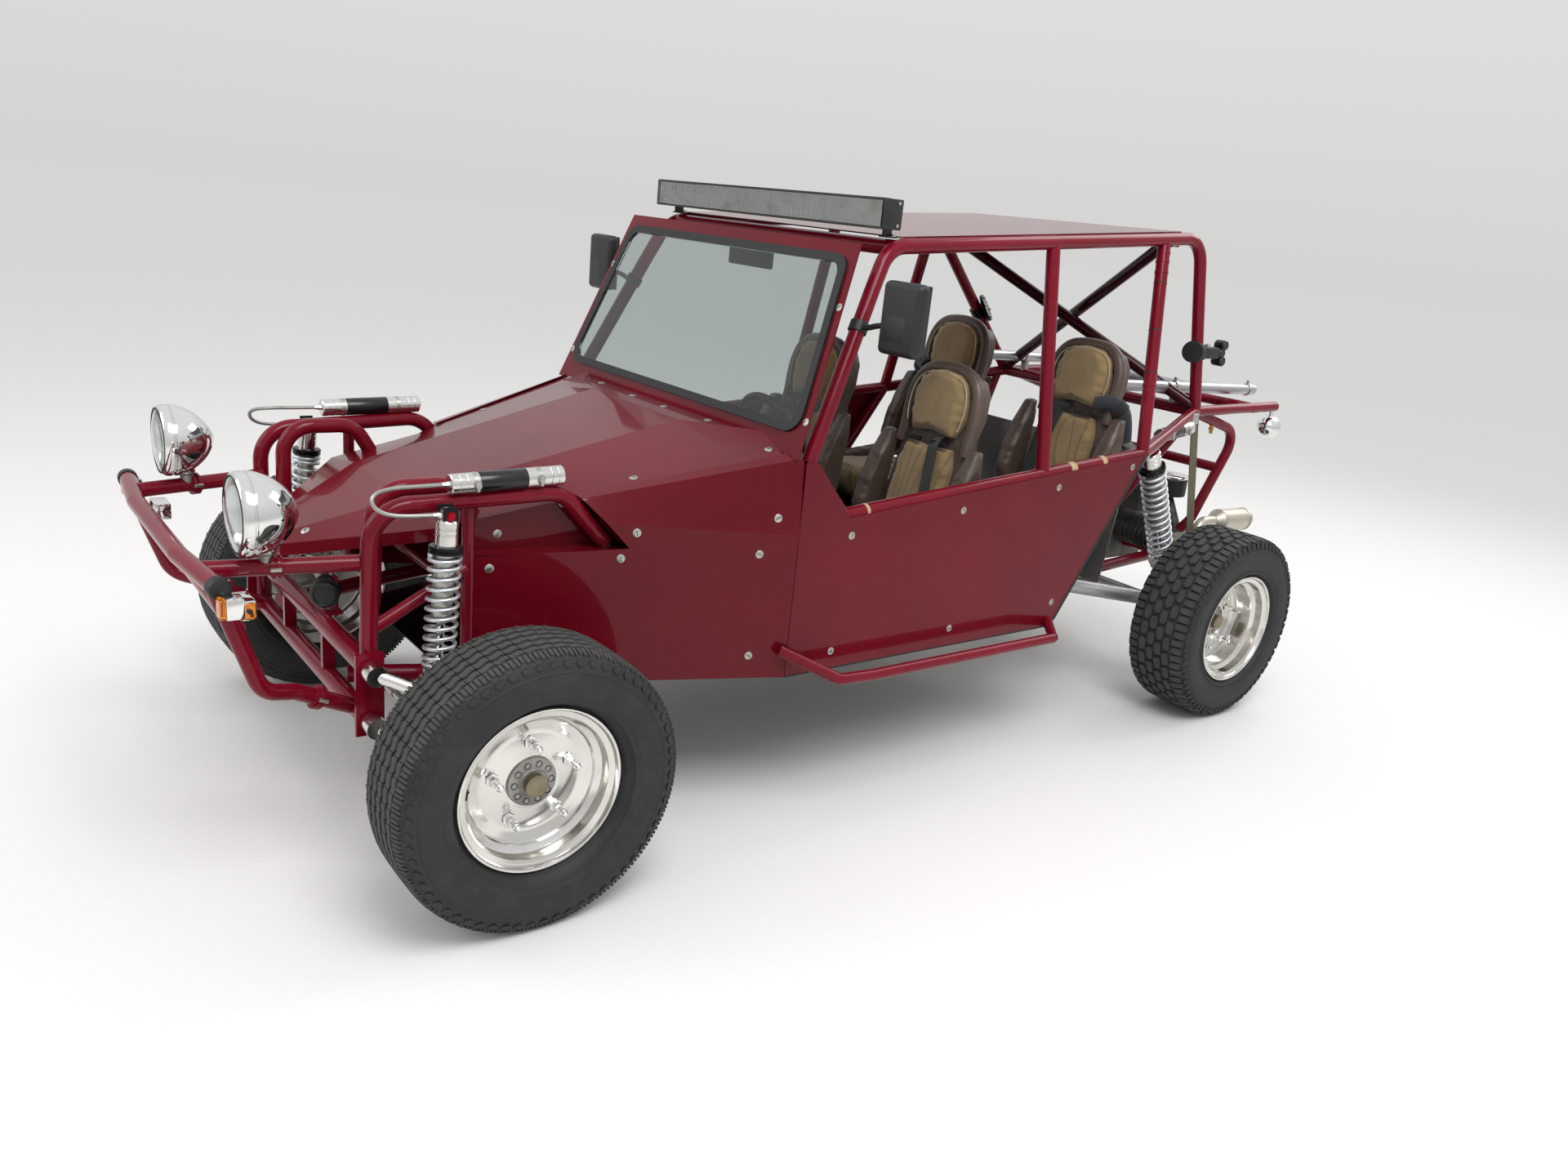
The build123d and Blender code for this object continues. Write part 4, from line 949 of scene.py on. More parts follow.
    def _barrel(self) -> Part:
        """The barrel with its two lips, its wells and the dished disc."""
        half, seat, lip, out = self.rim_half, self.seat, self.lip, self.disc_out
        well = seat - 28
        face = [
            (lip - 1.5, half - 9), (lip, half - 8), (lip, half - 1.5), (lip - 1.5, half), (lip - 5, half),
            (lip - 7, half - 1.5), (lip - 8.5, half - 7), (lip - 11, half - 11), (seat - 8, half - 16),
            (seat - 9.5, half - 30), (seat - 12, half - 42), (seat - 18, half - 47), (well + 2, half - 52),
        ]
        deep = out - 6
        face += [(well, half - 58)] if half - 58 > deep + 14 else []
        face += [
            (well - 1, deep + 10), (well - 4, deep + 3), (well - 10, deep), (138, deep - 3), (132, deep - 6),
            (124, deep - 7), (118, deep - 5), (90, out - 8), (74, out - 4), (68, out - 3), (64, out - 5), (60, out - 5),
        ]
        back = [
            (60, out - 13), (118, out - 20), (well - 8, out - 22), (well - 6, -half + 62), (seat - 10, -half + 50),
            (seat - 8, -half + 14), (lip - 7, -half), (lip, -half), (lip, -half + 8), (seat, -half + 12),
            (seat - 2, -half + 46), (well, -half + 58), (well + 4, half - 58), (seat - 3, half - 46), (seat, half - 13),
        ]
        return Bench.turned(face + back + [face[0]], 96)

    def _hub(self) -> list[Part]:
        """The centre disc, its screws, the cap, the five studs and the valve."""
        out = self.disc_out
        parts = [Bench.coated(Bench.turned([(60, out - 14), (62, out - 3), (61, out - 1), (58, out), (36, out + 1.5),
                                            (33, out + 5), (0, out + 5)], 48), CAST)]
        cap = Bench.turned([(27, out), (27, out + 22), (28.5, out + 25), (25, out + 26.5), (23, out + 25.6),
                            (8, out + 26.6), (0, out + 26.8)], 40)
        parts.append(Bench.coated(cap, BRONZE))
        for k in range(10):
            turn = 2 * math.pi * k / 10
            # each screw sits in a black cup: its black is painted shade in the screw's counterbore
            well = Bench.turned([(8.6, 0.6), (7.4, 1.2), (7.2, -1.5), (0, -1.5)], 16)
            bolt = Bench.turned([(4.6, -1.2), (4.6, 1.0), (3.6, 1.6), (2.2, 1.6), (2.1, 0.2), (0, 0.2)], 6)
            spot = Matrix.Translation(Vector((47 * math.cos(turn), 47 * math.sin(turn), out + 1.0)) * MM)
            for part, coat in ((well, SEAL), (bolt, STEEL)):
                part.data.transform(spot)
                parts.append(Bench.coated(part, coat))
        for k in range(5):
            turn = 2 * math.pi * (k + 0.3) / 5
            spot = Matrix.Translation(Vector((102.5 * math.cos(turn), 102.5 * math.sin(turn), 0)) * MM)
            nut = Bench.turned([(16, out - 8.5), (17, out - 6), (15.5, out - 4.5), (11.5, out - 4), (11.5, out + 13),
                                (9.5, out + 15), (0, out + 15)], 6)
            stud = Bench.turned([(7, out + 14), (7.2, out + 30), (9.0, out + 31), (9.2, out + 38), (7.0, out + 40),
                                 (6.8, out + 46), (4.6, out + 48.4), (0, out + 49)], 20)
            for part in (nut, stud):
                part.data.transform(spot)
                parts.append(Bench.coated(part, CHROME))
        lean = Matrix.Translation(Vector((-158, 8, self.rim_half - 62)) * MM) @ Matrix.Rotation(-0.5, 4, "Y")
        valve = Bench.turned([(6, -8), (6.5, 4), (4.4, 8), (4.2, 26), (5.0, 27), (5.0, 36), (3.5, 37), (0, 37)], 16)
        valve.data.transform(lean)
        parts.append(Bench.coated(valve, SEAL))
        return parts


# ---- springs, dampers and reservoirs


@dataclass
class CoilOver:
    """A pair of dampers with their springs, made down from the top eye."""

    end: str
    top: Triple
    foot: Triple
    spring: float
    wire: float
    coils: float

    @property
    def long(self) -> float:
        """The distance between the eyes, in millimetres."""
        return (Vector(self.foot) - Vector(self.top)).length

    def build(self) -> None:
        """Makes the left damper and spring and mirrors them."""
        dampers = [self._seat(part) for part in self._damper()] + self._eyes()
        Bench.piece("dampers_" + self.end, Bench.pair(dampers), "grey_steel", [self.end + "_shocks"], Shade.CRISP)
        spring = Bench.coated(self._seat(self._coil()), SPRING)
        Bench.piece("coils_" + self.end, Bench.pair([spring]), "spring_steel", [self.end + "_springs"], Shade.SOFT)

    def _seat(self, obj: Part) -> Part:
        """Moves a piece made about Z onto the damper's axis."""
        return Bench.framed(obj, station(*self.top), Vector(self.foot) - Vector(self.top), (1, 0, 0))

    def _damper(self) -> list[Part]:
        """The grooved cap, the double collar, the body, the shaft and the lower cup."""
        body, long = self.spring - 14, self.long
        cap = [(0, 8), (body - 8, 9), (body - 3, 12), (body, 16), (body, 29), (body - 1.6, 30), (body - 1.6, 33),
               (body, 34), (body, 43), (body - 1.6, 44), (body - 1.6, 47), (body, 48), (body, 75)]
        collar = [(body - 1, 74), (self.spring - 3, 74), (self.spring - 1, 76), (self.spring - 1, 81),
                  (self.spring - 3, 82.5), (self.spring - 3, 84.5), (self.spring - 1, 86), (self.spring - 1, 90),
                  (self.spring - 3, 92), (body - 2, 92)]
        tube = [(body - 2, 90), (body - 2, long * 0.6), (body - 6, long * 0.61), (11, long * 0.615), (10, long * 0.615)]
        shaft = [(9.5, long * 0.6), (9.5, long - 8)]
        cup = [(10, long - 52), (self.spring - 12, long - 49), (self.spring - 5, long - 47),
               (self.spring - 5, long - 38), (self.spring - 9, long - 36), (14, long - 34), (13, long - 14)]
        parts = []
        for profile, finish in ((cap, POLISHED), (collar, BLACK), (tube, ZINC), (shaft, CHROME), (cup, POLISHED)):
            parts.append(Bench.coated(Bench.turned(profile, 36), finish))
        teeth = Bench.slab((self.spring * MM - 0.0022, -0.0024, 0.0762), (self.spring * MM - 0.0004, 0.0024, 0.0808))
        Bench.edit(teeth)
        bpy.ops.mesh.spin(steps=11, dupli=True, angle=math.radians(330), center=(0, 0, 0), axis=(0, 0, 1))
        bpy.ops.object.mode_set(mode="OBJECT")
        parts.append(Bench.coated(teeth, BLACK))
        return parts

    def _eyes(self) -> list[Part]:
        """The eyes with their bushes, clevis plates and bolts, across the car."""
        parts = []
        for place, radius in ((self.top, 17.0), (self.foot, 16.0)):
            spot = station(*place)
            eye = Bench.turned([(8.5, -15), (radius - 1.5, -15), (radius, -13.5), (radius, 13.5), (radius - 1.5, 15),
                                (8.5, 15), (8.5, -15)], 32)
            bush = Bench.turned([(8.2, -17), (13, -16.4), (13, -14.6)], 24)
            bolt = Bench.turned([(0, 27), (8.4, 27), (9.6, 25.6), (9.6, 21), (12.5, 20.6), (12.5, 19), (7.6, 19),
                                 (7.6, -19), (12.5, -19), (12.5, -20.6), (9.6, -21), (9.6, -26), (0, -26)], 6)
            for part, coat in ((eye, POLISHED), (bush, ZINC), (bolt, RED_BOLT)):
                parts.append(Bench.coated(Bench.aim(part, spot, (0, 1, 0)), coat))
            if place is self.top:
                for y in (-19.0, 15.6):
                    ear = Bench.slab((-0.019, y * MM, -0.018), (0.019, (y + 3.4) * MM, 0.022), 0.0016, 1)
                    parts.append(Bench.coated(Bench.moved(ear, spot), BLACK))
        return parts

    def _coil(self) -> Part:
        """The spring, with its ends wound close."""
        start, stop = 92.6 + self.wire, self.long - 48.6 - self.wire
        reach = self.spring - self.wire
        turns, step, closed = self.coils + 1.5, 18, 1.1
        points = []
        for k in range(int(turns * step) + 1):
            turn = k / step
            near = min(turn, turns - turn)
            flat = 2.1 * self.wire * min(near, closed)
            free = (stop - start) / 2 - 2.1 * self.wire * closed
            share = max(0.0, near - closed) / (turns / 2 - closed)
            down = flat + free * share
            z = start + down if turn < turns / 2 else stop - down
            points.append(Vector((reach * math.cos(2 * math.pi * turn), reach * math.sin(2 * math.pi * turn), z)) * MM)
        return Bench.run(points, self.wire * MM, smooth=False, sides=2)


@dataclass
class Reservoir:
    """A pair of remote reservoirs, each with worm clamps and its hose."""

    end: str
    nose: Triple
    tail: Triple
    hose: Sequence[Triple]
    radius: float = 25.0

    def build(self) -> None:
        """Makes the left reservoir and mirrors it."""
        axis = Vector(self.tail) - Vector(self.nose)
        long, r = axis.length, self.radius
        profile = [(0, 0), (r - 3, 0), (r, 3)]
        for groove in (18, 37, long - 40, long - 21):
            profile += [(r, groove), (r - 1.3, groove + 1), (r - 1.3, groove + 3), (r, groove + 4)]
        profile += [(r, long - 3), (r - 3, long), (0, long)]
        parts = [Bench.coated(Bench.turned(profile, 40), POLISHED)]
        low, high = long * 0.24, long * 0.66
        sleeve = Bench.turned([(r - 1, low), (r + 0.3, low), (r + 0.5, low + 0.5), (r + 0.5, high - 0.5),
                               (r + 0.3, high), (r - 1, high)], 40)
        parts.append(Bench.coated(sleeve, SLEEVE))
        for place in (long * 0.19, long * 0.75):
            parts += self._clamp(place)
        bleed = Bench.turned([(0, long - 1), (6, long), (6, long + 2), (3, long + 2.4), (3, long + 5),
                              (0, long + 5)], 12)
        parts.append(Bench.coated(bleed, BRASS))
        for part in parts:
            Bench.framed(part, station(*self.nose), axis)
        hose = Bench.run([station(*p) for p in self.hose], 0.005, True, 3)
        parts.append(Bench.coated(hose, BRAID))
        for first, second in ((self.hose[0], self.hose[1]), (self.hose[-1], self.hose[-2])):
            way = (Vector(second) - Vector(first)).normalized()
            fitting = Bench.turned([(6.4, -4), (7.6, -3), (7.6, 7), (6.2, 9), (6.2, 17), (5.2, 19)], 6)
            Bench.framed(fitting, station(*first), way)
            parts.append(Bench.coated(fitting, ZINC))
        Bench.piece("reservoirs_" + self.end, Bench.pair(parts), "grey_aluminium",
                    [self.end + "_reservoirs"], Shade.CRISP)

    def _clamp(self, place: float) -> list[Part]:
        """A worm clamp: its band and its screw housing."""
        r = self.radius
        band = Bench.turned([(r, place), (r + 0.9, place), (r + 0.9, place + 11), (r, place + 11)], 40)
        house = Bench.slab((-0.008, r * MM, (place - 1.5) * MM), (0.008, (r + 9) * MM, (place + 12.5) * MM), 0.0015)
        screw = Bench.rod((-0.016, (r + 5) * MM, (place + 5.5) * MM), (0.013, (r + 5) * MM, (place + 5.5) * MM), 0.0042,
                          0.0008, 12)
        return [Bench.coated(part, ZINC) for part in (band, house, screw)]


# ---- lamps and mirrors


@dataclass
class Headlamps:
    """The two chrome headlamps on their posts."""

    face: Triple = (528.0, 396.0, 928.0)

    def build(self) -> None:
        """Makes the left lamp and mirrors it."""
        bowl = Bench.turned([(0, -138), (12, -137), (20, -134), (34, -127), (50, -116), (62, -105), (74, -91),
                             (83, -77), (89, -63), (94, -50), (96, -41), (97, -36), (97, -30), (94, -28), (94, -25),
                             (97, -23), (97, -14), (95, -6), (91, -1), (88, 0), (86, -2), (85.4, -8), (82, -12),
                             (66, -30), (46, -44), (26, -52), (10, -55), (0, -55.5)], 64)
        gasket = Bench.turned([(88.4, -0.4), (88.8, 1.2), (86.4, 1.6), (85.6, -2)], 64)
        bulb = Bench.turned([(9, -54), (9, -44), (6, -42), (6, -26), (4, -23), (0, -22)], 20)
        shade = Bench.turned([(0, -17), (9, -18), (11, -20), (11, -30), (10, -30), (10, -21), (8, -19.4),
                              (0, -18.6)], 24)
        lens = Bench.turned([(86, -2.5), (80, 1.5), (60, 5.6), (36, 8.4), (14, 9.8), (0, 10), (0, 6), (14, 5.8),
                             (36, 4.6), (60, 1.8), (80, -2.5), (85, -5), (86, -2.5)], 64)
        metal = Bench.dressed((bowl, CHROME), (gasket, SEAL), (shade, CHROME), (bulb, LENS))
        for part in metal + [lens]:
            Bench.framed(part, station(*self.face), (1, 0, 0))
        x, y = 462.0, 397.0
        knuckle = Bench.turned([(0, 30), (19, 30), (22, 33), (23, 40), (21, 46), (12, 49), (12, 58), (0, 62)], 32)
        boss = Bench.turned([(14, 0), (17, 2), (17, 26), (15, 28), (20, 29), (20, 32), (12, 33)], 32)
        for part, coat in ((knuckle, CHROME), (boss, CAST)):
            metal.append(Bench.coated(Bench.moved(part, station(x, y, 806)), coat))
        lock = Bench.rod(station(x, y - 26, 843), station(x, y + 28, 843), 0.0055, 0.001, 6)
        metal.append(Bench.coated(lock, ZINC))
        Bench.piece("headlamp_shells", Bench.pair(metal), "chrome", ["headlamps"])
        Bench.piece("headlamp_lenses", Bench.pair([Bench.coated(lens, LENS)]), "clear_glass", (), Shade.SOFT)


@dataclass
class LightBar:
    """The long lamp over the screen: a finned case, two rows of cells, a clear front and its feet."""

    low: Triple = (-1172.0, -590.0, 1662.0)
    high: Triple = (-1100.0, 590.0, 1745.0)
    cells: int = 48

    def build(self) -> None:
        """Makes the case, the cells, the front and the feet."""
        x0, y0, z0 = self.low
        x1, y1, z1 = self.high
        case = Bench.slab(station(x0 + 26, y0 + 8, z0 + 6), station(x1 - 20, y1 - 8, z1 - 6), 0.003)
        parts = [Bench.coated(case, MOULDED)]
        fin = Bench.slab(station(x0, y0 + 10, z0 + 6), station(x1 - 22, y1 - 10, z0 + 8.6), 0.0008, 1)
        parts.append(Bench.coated(Bench.row(fin, 9, (0, 0, 0.0086)), MOULDED))
        for z in (z0, z1 - 7):
            rail = Bench.slab(station(x1 - 26, y0 + 6, z), station(x1 - 1, y1 - 6, z + 7), 0.0016)
            parts.append(Bench.coated(rail, MOULDED))
        for y in (y0, y1 - 9):
            cap = Bench.slab(station(x0 + 4, y, z0 + 1), station(x1 - 1, y + 9, z1 - 1), 0.003)
            parts.append(Bench.coated(cap, MOULDED))
            for z in (z0 + 12, z1 - 12):
                outer = -1 if y < 0 else 1
                screw = Bench.turned([(0, 0), (4.2, 0), (4.2, 1.8), (3, 2.6), (0, 2.6)], 12)
                Bench.framed(screw, station(x0 + 20, y + (9 if outer > 0 else 0), z), (0, outer, 0), (1, 0, 0))
                parts.append(Bench.coated(screw, ZINC))
        pitch = (y1 - y0 - 36) / self.cells
        wide = pitch / 2 - 0.4
        cup = Bench.turned([(wide, 0), (wide * 0.86, -5), (wide * 0.55, -10), (wide * 0.3, -13), (wide * 0.28, -11),
                            (0, -11)], 16)
        Bench.framed(cup, station(x1 - 7, y0 + 18 + pitch / 2, z0 + 24), (1, 0, 0))
        cup = Bench.row(Bench.row(cup, self.cells, (0, pitch * MM, 0)), 2, (0, 0, (z1 - z0 - 48) * MM))
        parts.append(Bench.coated(cup, CHROME))
        mask = Bench.slab(station(x1 - 22, y0 + 9, z0 + 7), station(x1 - 8, y1 - 9, z1 - 7))
        parts.append(Bench.coated(mask, ZINC))
        for y in (-540.0, 540.0):
            foot = Bench.slab(station(-1186, y - 20, 1641), station(-1150, y + 20, 1645), 0.001, 1)
            web = Bench.slab(station(-1180, y - 2.5, 1643), station(-1146, y + 2.5, 1672), 0.001, 1)
            bolt = Bench.turned([(0, 0), (10, 0), (10, 2), (7, 2), (7, 7), (0, 7.5)], 6)
            Bench.moved(bolt, station(-1178, y + 12, 1645))
            parts += Bench.dressed((foot, MOULDED), (web, MOULDED), (bolt, ZINC))
        Bench.piece("light_bar_case", parts, "black_paint", ["light_bar"], Shade.CRISP)
        front = Bench.slab(station(x1 - 5, y0 + 10, z0 + 7), station(x1, y1 - 10, z1 - 7), 0.001, 1)
        Bench.piece("light_bar_front", [Bench.coated(front, LENS)], "clear_glass", (), Shade.CRISP)


@dataclass
class Mirrors:
    """The outer mirrors on their arms and the inner one on the front tube."""

    low: Triple = (-1046.0, 728.0, 1350.0)
    high: Triple = (-1000.0, 872.0, 1540.0)

    def build(self) -> None:
        """Makes the left mirror, mirrors it, and makes the inner one."""
        x0, y0, z0 = self.low
        x1, y1, z1 = self.high
        shell = Bench.slab(station(x0, y0, z0), station(x1, y1, z1), 0.017, 5)
        parts = [Bench.coated(shell, MOULDED)]
        rim = Bench.slab(station(x0 - 1, y0 + 3, z0 + 3), station(x0 + 8, y1 - 3, z1 - 3), 0.003)
        glass = Bench.slab(station(x0 - 2, y0 + 10, z0 + 10), station(x0 - 0.6, y1 - 10, z1 - 10), 0.0004, 1)
        parts += Bench.dressed((rim, MOULDED), (glass, CHROME))
        grip = Bench.slab(station(x1 - 6, y0 + 20, 1384), station(x1 + 1, y1 - 40, 1452), 0.004)
        parts.append(Bench.coated(grip, MOULDED))
        path = [(-1040, 606, 1400), (-1040, 640, 1402), (-1034, 690, 1416), (-1020, 730, 1420), (-1014, 760, 1420)]
        parts.append(Bench.coated(Bench.run([station(*p) for p in path], 0.008, True, 3), MOULDED))
        clamp = Bench.turned([(26, -15), (27, -14), (27, 14), (26, 15), (22.4, 15), (22.4, -15), (26, -15)], 28)
        foot, head = Vector((-868.0, 664.0, 1040.0)), Vector((-1092.0, 588.0, 1505.0))
        spot = foot.lerp(head, (1400 - 1040) / (1505 - 1040))
        parts.append(Bench.coated(Bench.framed(clamp, station(*spot), head - foot, (0, 1, 0)), MOULDED))
        parts = Bench.pair(parts)
        inner = Bench.slab(station(-1106, -112, 1508), station(-1090, 112, 1566), 0.0065, 3)
        face = Bench.slab(station(-1107, -105, 1514), station(-1105, 105, 1560), 0.0008, 1)
        path = [(-1100, 0, 1540), (-1120, 0, 1572), (-1160, 0, 1604), (-1182, 0, 1610)]
        stem = Bench.run([station(*p) for p in path], 0.0065, True, 3)
        parts += Bench.dressed((inner, MOULDED), (face, CHROME), (stem, MOULDED))
        Bench.piece("mirror_heads", parts, "black_plastic", ["mirrors"])


@dataclass
class SmallLamps:
    """The amber lamps in front and the chrome bullet lamps under the tail."""

    def build(self) -> None:
        """Makes each left lamp and mirrors it."""
        bullet = Bench.turned([(0, -44), (14, -42), (28, -35), (38, -24), (43, -11), (44, 0), (44, 14), (42.5, 16),
                               (42.5, 18), (43.5, 20), (42, 24), (39, 25), (37, 22), (0, 20)], 40)
        ruby = Bench.turned([(38, 22), (36, 30), (26, 37), (12, 41), (0, 42), (0, 38), (24, 33), (35, 22)], 40)
        amber_at, turn_at = station(528, 436, 728), station(578, 548, 768)
        case = Bench.box(amber_at, (-0.024, -0.036, -0.024), (0.02, 0.036, 0.024), 0.005)
        amber = Bench.box(amber_at, (-0.021, 0.034, -0.019), (0.017, 0.043, 0.019), 0.004, 3)
        shell = Bench.box(turn_at, (-0.028, -0.021, -0.024), (0.01, 0.021, 0.024), 0.005)
        turn = Bench.box(turn_at, (0.009, -0.019, -0.022), (0.022, 0.019, 0.022), 0.004, 3)
        arm = Bench.rod(station(572, 494, 752), station(562, 538, 758), 0.008, 0.001)
        stay = Bench.rod(station(520, 480, 728), station(520, 462, 728), 0.006, 0.001)
        stem = Bench.rod(station(-3426, 500, 1078), station(-3426, 500, 1106), 0.008, 0.001)
        for part in (bullet, ruby):
            Bench.framed(part, station(-3426, 500, 1040), (-1, 0, 0))
        parts = Bench.dressed((bullet, CHROME), (case, CHROME), (stem, CHROME), (shell, CHROME), (arm, MOULDED),
                              (stay, MOULDED))
        Bench.piece("lamp_cases", Bench.pair(parts), "chrome", ["small_lamps"])
        lenses = Bench.dressed((ruby, RUBY), (amber, AMBER), (turn, AMBER))
        Bench.piece("lamp_lenses", Bench.pair(lenses), "chrome")


# ---- seats and harness


class Stuffing:
    """Turns a closed shape into stuffed upholstery."""

    FRAMES = 20
    PRESSURE = 4.0

    @staticmethod
    def swell(obj: Part, reach: float, voxel: float = 6.0) -> Part:
        """Swells a pad with cloth under pressure.

        Args:
            obj: A closed shape, slightly smaller than the pad.
            reach: How far a point may move, in millimetres.
            voxel: The size of the remesh, in millimetres.

        Returns:
            The pad, with nothing left to simulate.
        """
        Bench.modified(obj, "REMESH", mode="VOXEL", voxel_size=voxel * MM)
        Stuffing._press(obj, reach * MM)
        return Bench.modified(obj, "SMOOTH", factor=0.5, iterations=6)

    @staticmethod
    def _press(obj: Part, reach: float) -> None:
        """Runs the cloth for its frames and keeps its shape within reach."""
        Bench.clear()
        bpy.context.view_layer.objects.active = obj
        cloth = obj.modifiers.new("stuffing", "CLOTH")
        cloth.settings.quality = 4
        cloth.settings.use_pressure = True
        cloth.settings.uniform_pressure_force = Stuffing.PRESSURE
        cloth.settings.effector_weights.gravity = 0.0
        cloth.point_cache.frame_start = 1
        cloth.point_cache.frame_end = Stuffing.FRAMES
        scene = bpy.context.scene
        for step in range(1, Stuffing.FRAMES + 1):
            scene.frame_set(step)
        swollen = obj.evaluated_get(bpy.context.evaluated_depsgraph_get()).data
        moved = [corner.co.copy() for corner in swollen.vertices]
        obj.modifiers.remove(cloth)
        scene.frame_set(1)
        for corner, spot in zip(obj.data.vertices, moved):
            shift = spot - corner.co
            corner.co = corner.co + (shift if shift.length <= reach else shift.normalized() * reach)


@dataclass
class Seats:
    """The four bucket seats. One is upholstered, and the others are its copies."""

    back_lean: float = 12.4
    head_lean: float = 9.0
    head_foot: tuple[float, float] = (-90.0, 470.0)
    places: tuple[tuple[str, float, float, float], ...] = (
        ("front_left", -1560.0, 330.0, 560.0), ("front_right", -1560.0, -330.0, 560.0),
        ("rear_left", -2270.0, 330.0, 650.0), ("rear_right", -2270.0, -330.0, 650.0))

    def build(self) -> None:
        """Makes the seat about its own origin and copies it to the four places."""
        pattern = Bench.joined(self._parts())
        for name, x, y, z in self.places:
            seat = Bench.copied(pattern, Matrix.Translation(station(x, y, z)))
            Bench.piece("seat_pads_" + name, [seat], "seat_cloth", ["seat_" + name], Shade.PADDED)
        Bench.drop(pattern)

    def _panel(self, points: Sequence[tuple[float, float]], depth: float, foot: tuple[float, float],
               lean: float) -> Part:
        """A panel that faces forward: an outline across and up, laid on a leaning plane through a foot in x and z."""
        turn = math.radians(lean)
        ahead = Vector((math.cos(turn), 0, math.sin(turn)))
        panel = Bench.outline(points, depth)
        spot = Vector((foot[0], 0, foot[1])) * MM - ahead * (depth * MM)
        return Bench.framed(panel, spot, ahead, (0, 1, 0))

    def _parts(self) -> list[Part]:
        """The shell, the pads, the wings, the borders and the stitching."""
        parts = []
        shell = self._panel([(-158, 6), (158, 6), (166, 120), (158, 330), (138, 410), (150, 480), (140, 560),
                             (108, 606), (-108, 606), (-140, 560), (-150, 480), (-138, 410), (-158, 330),
                             (-166, 120)], 62.0, (-36, 80), self.back_lean)
        parts.append(Bench.coated(Bench.modified(shell, "BEVEL", width=0.016, segments=4), VINYL))
        back = self._panel([(-128, 4), (128, 4), (138, 120), (132, 300), (104, 372), (-104, 372), (-132, 300),
                            (-138, 120)], 44.0, (-9, 82), self.back_lean)
        parts.append(Bench.coated(Stuffing.swell(back, 14.0), EMBOSSED))
        head = self._panel([(-98, 0), (98, 0), (124, 60), (124, 130), (106, 184), (68, 214), (0, 222), (-68, 214),
                            (-106, 184), (-124, 130), (-124, 60)], 46.0, self.head_foot, self.head_lean)
        parts.append(Bench.coated(Stuffing.swell(head, 14.0), SUEDE))
        seat = Bench.outline([(8, -142), (440, -136), (462, -120), (466, 0), (462, 120), (440, 136), (8, 142)], 88.0)
        for corner in seat.data.vertices:
            corner.co.z += corner.co.x * 0.055 + 0.006
        parts.append(Bench.coated(Stuffing.swell(seat, 16.0), EMBOSSED))
        wing = Bench.outline([(-96, 78), (-30, 92), (12, 132), (30, 190), (12, 282), (-30, 372), (-88, 452),
                              (-124, 456), (-128, 380), (-112, 200)], 40.0)
        Bench.framed(wing, (0, 0.186, 0), (0, 1, 0), (1, 0, 0))
        for corner in wing.data.vertices:
            corner.co.z = -corner.co.z
        Bench.heal(wing)
        wing = Bench.coated(Stuffing.swell(wing, 13.0), VINYL)
        thigh = Bench.slab((0.012, 0.176, 0.008), (0.456, 0.222, 0.138))
        for corner in thigh.data.vertices:
            if corner.co.z > 0.1:
                corner.co.z += 0.012 if corner.co.x < 0.2 else -0.006
        Bench.heal(thigh)
        thigh = Bench.coated(Stuffing.swell(thigh, 13.0), VINYL)
        return parts + Bench.pair([wing, thigh]) + self._borders()

    def _face(self, y: float, s: float, out: float) -> Vector:
        """A point on the head's leaning face: across, up along it from its foot, and out of it, in millimetres."""
        turn = math.radians(self.head_lean)
        x, z = self.head_foot
        return Vector((x - s * math.sin(turn) + out * math.cos(turn), y,
                       z + s * math.cos(turn) + out * math.sin(turn))) * MM

    def _borders(self) -> list[Part]:
        """The padded border round the head, its stitching and the harness slots."""
        arch = [(152, -46), (146, 10), (152, 66), (150, 128), (132, 180), (94, 212), (48, 222), (0, 224)]
        arch = arch + [(-y, s) for y, s in reversed(arch[:-1])]
        border = Bench.run([self._face(y, s, -30) for y, s in arch], 0.0215, True, 4)
        parts = [Bench.coated(border, VINYL)]
        seam = [(118, 30), (128, 66), (127, 128), (108, 178), (66, 202), (0, 208)]
        seam = seam + [(-y, s) for y, s in reversed(seam[:-1])]
        welt = Bench.run([self._face(y, s, 1.0) for y, s in seam], 0.0018, True, 1)
        parts.append(Bench.coated(welt, THREAD))
        for side in (1, -1):
            frame = Bench.outline([(-34, -9), (34, -9), (40, 0), (34, 9), (-34, 9), (-40, 0)], 6.0)
            Bench.framed(frame, self._face(side * 62, -24, 6), (math.cos(0.19), 0, math.sin(0.19)), (0, 1, 0))
            parts.append(Bench.coated(frame, SLEEVE))
        return parts


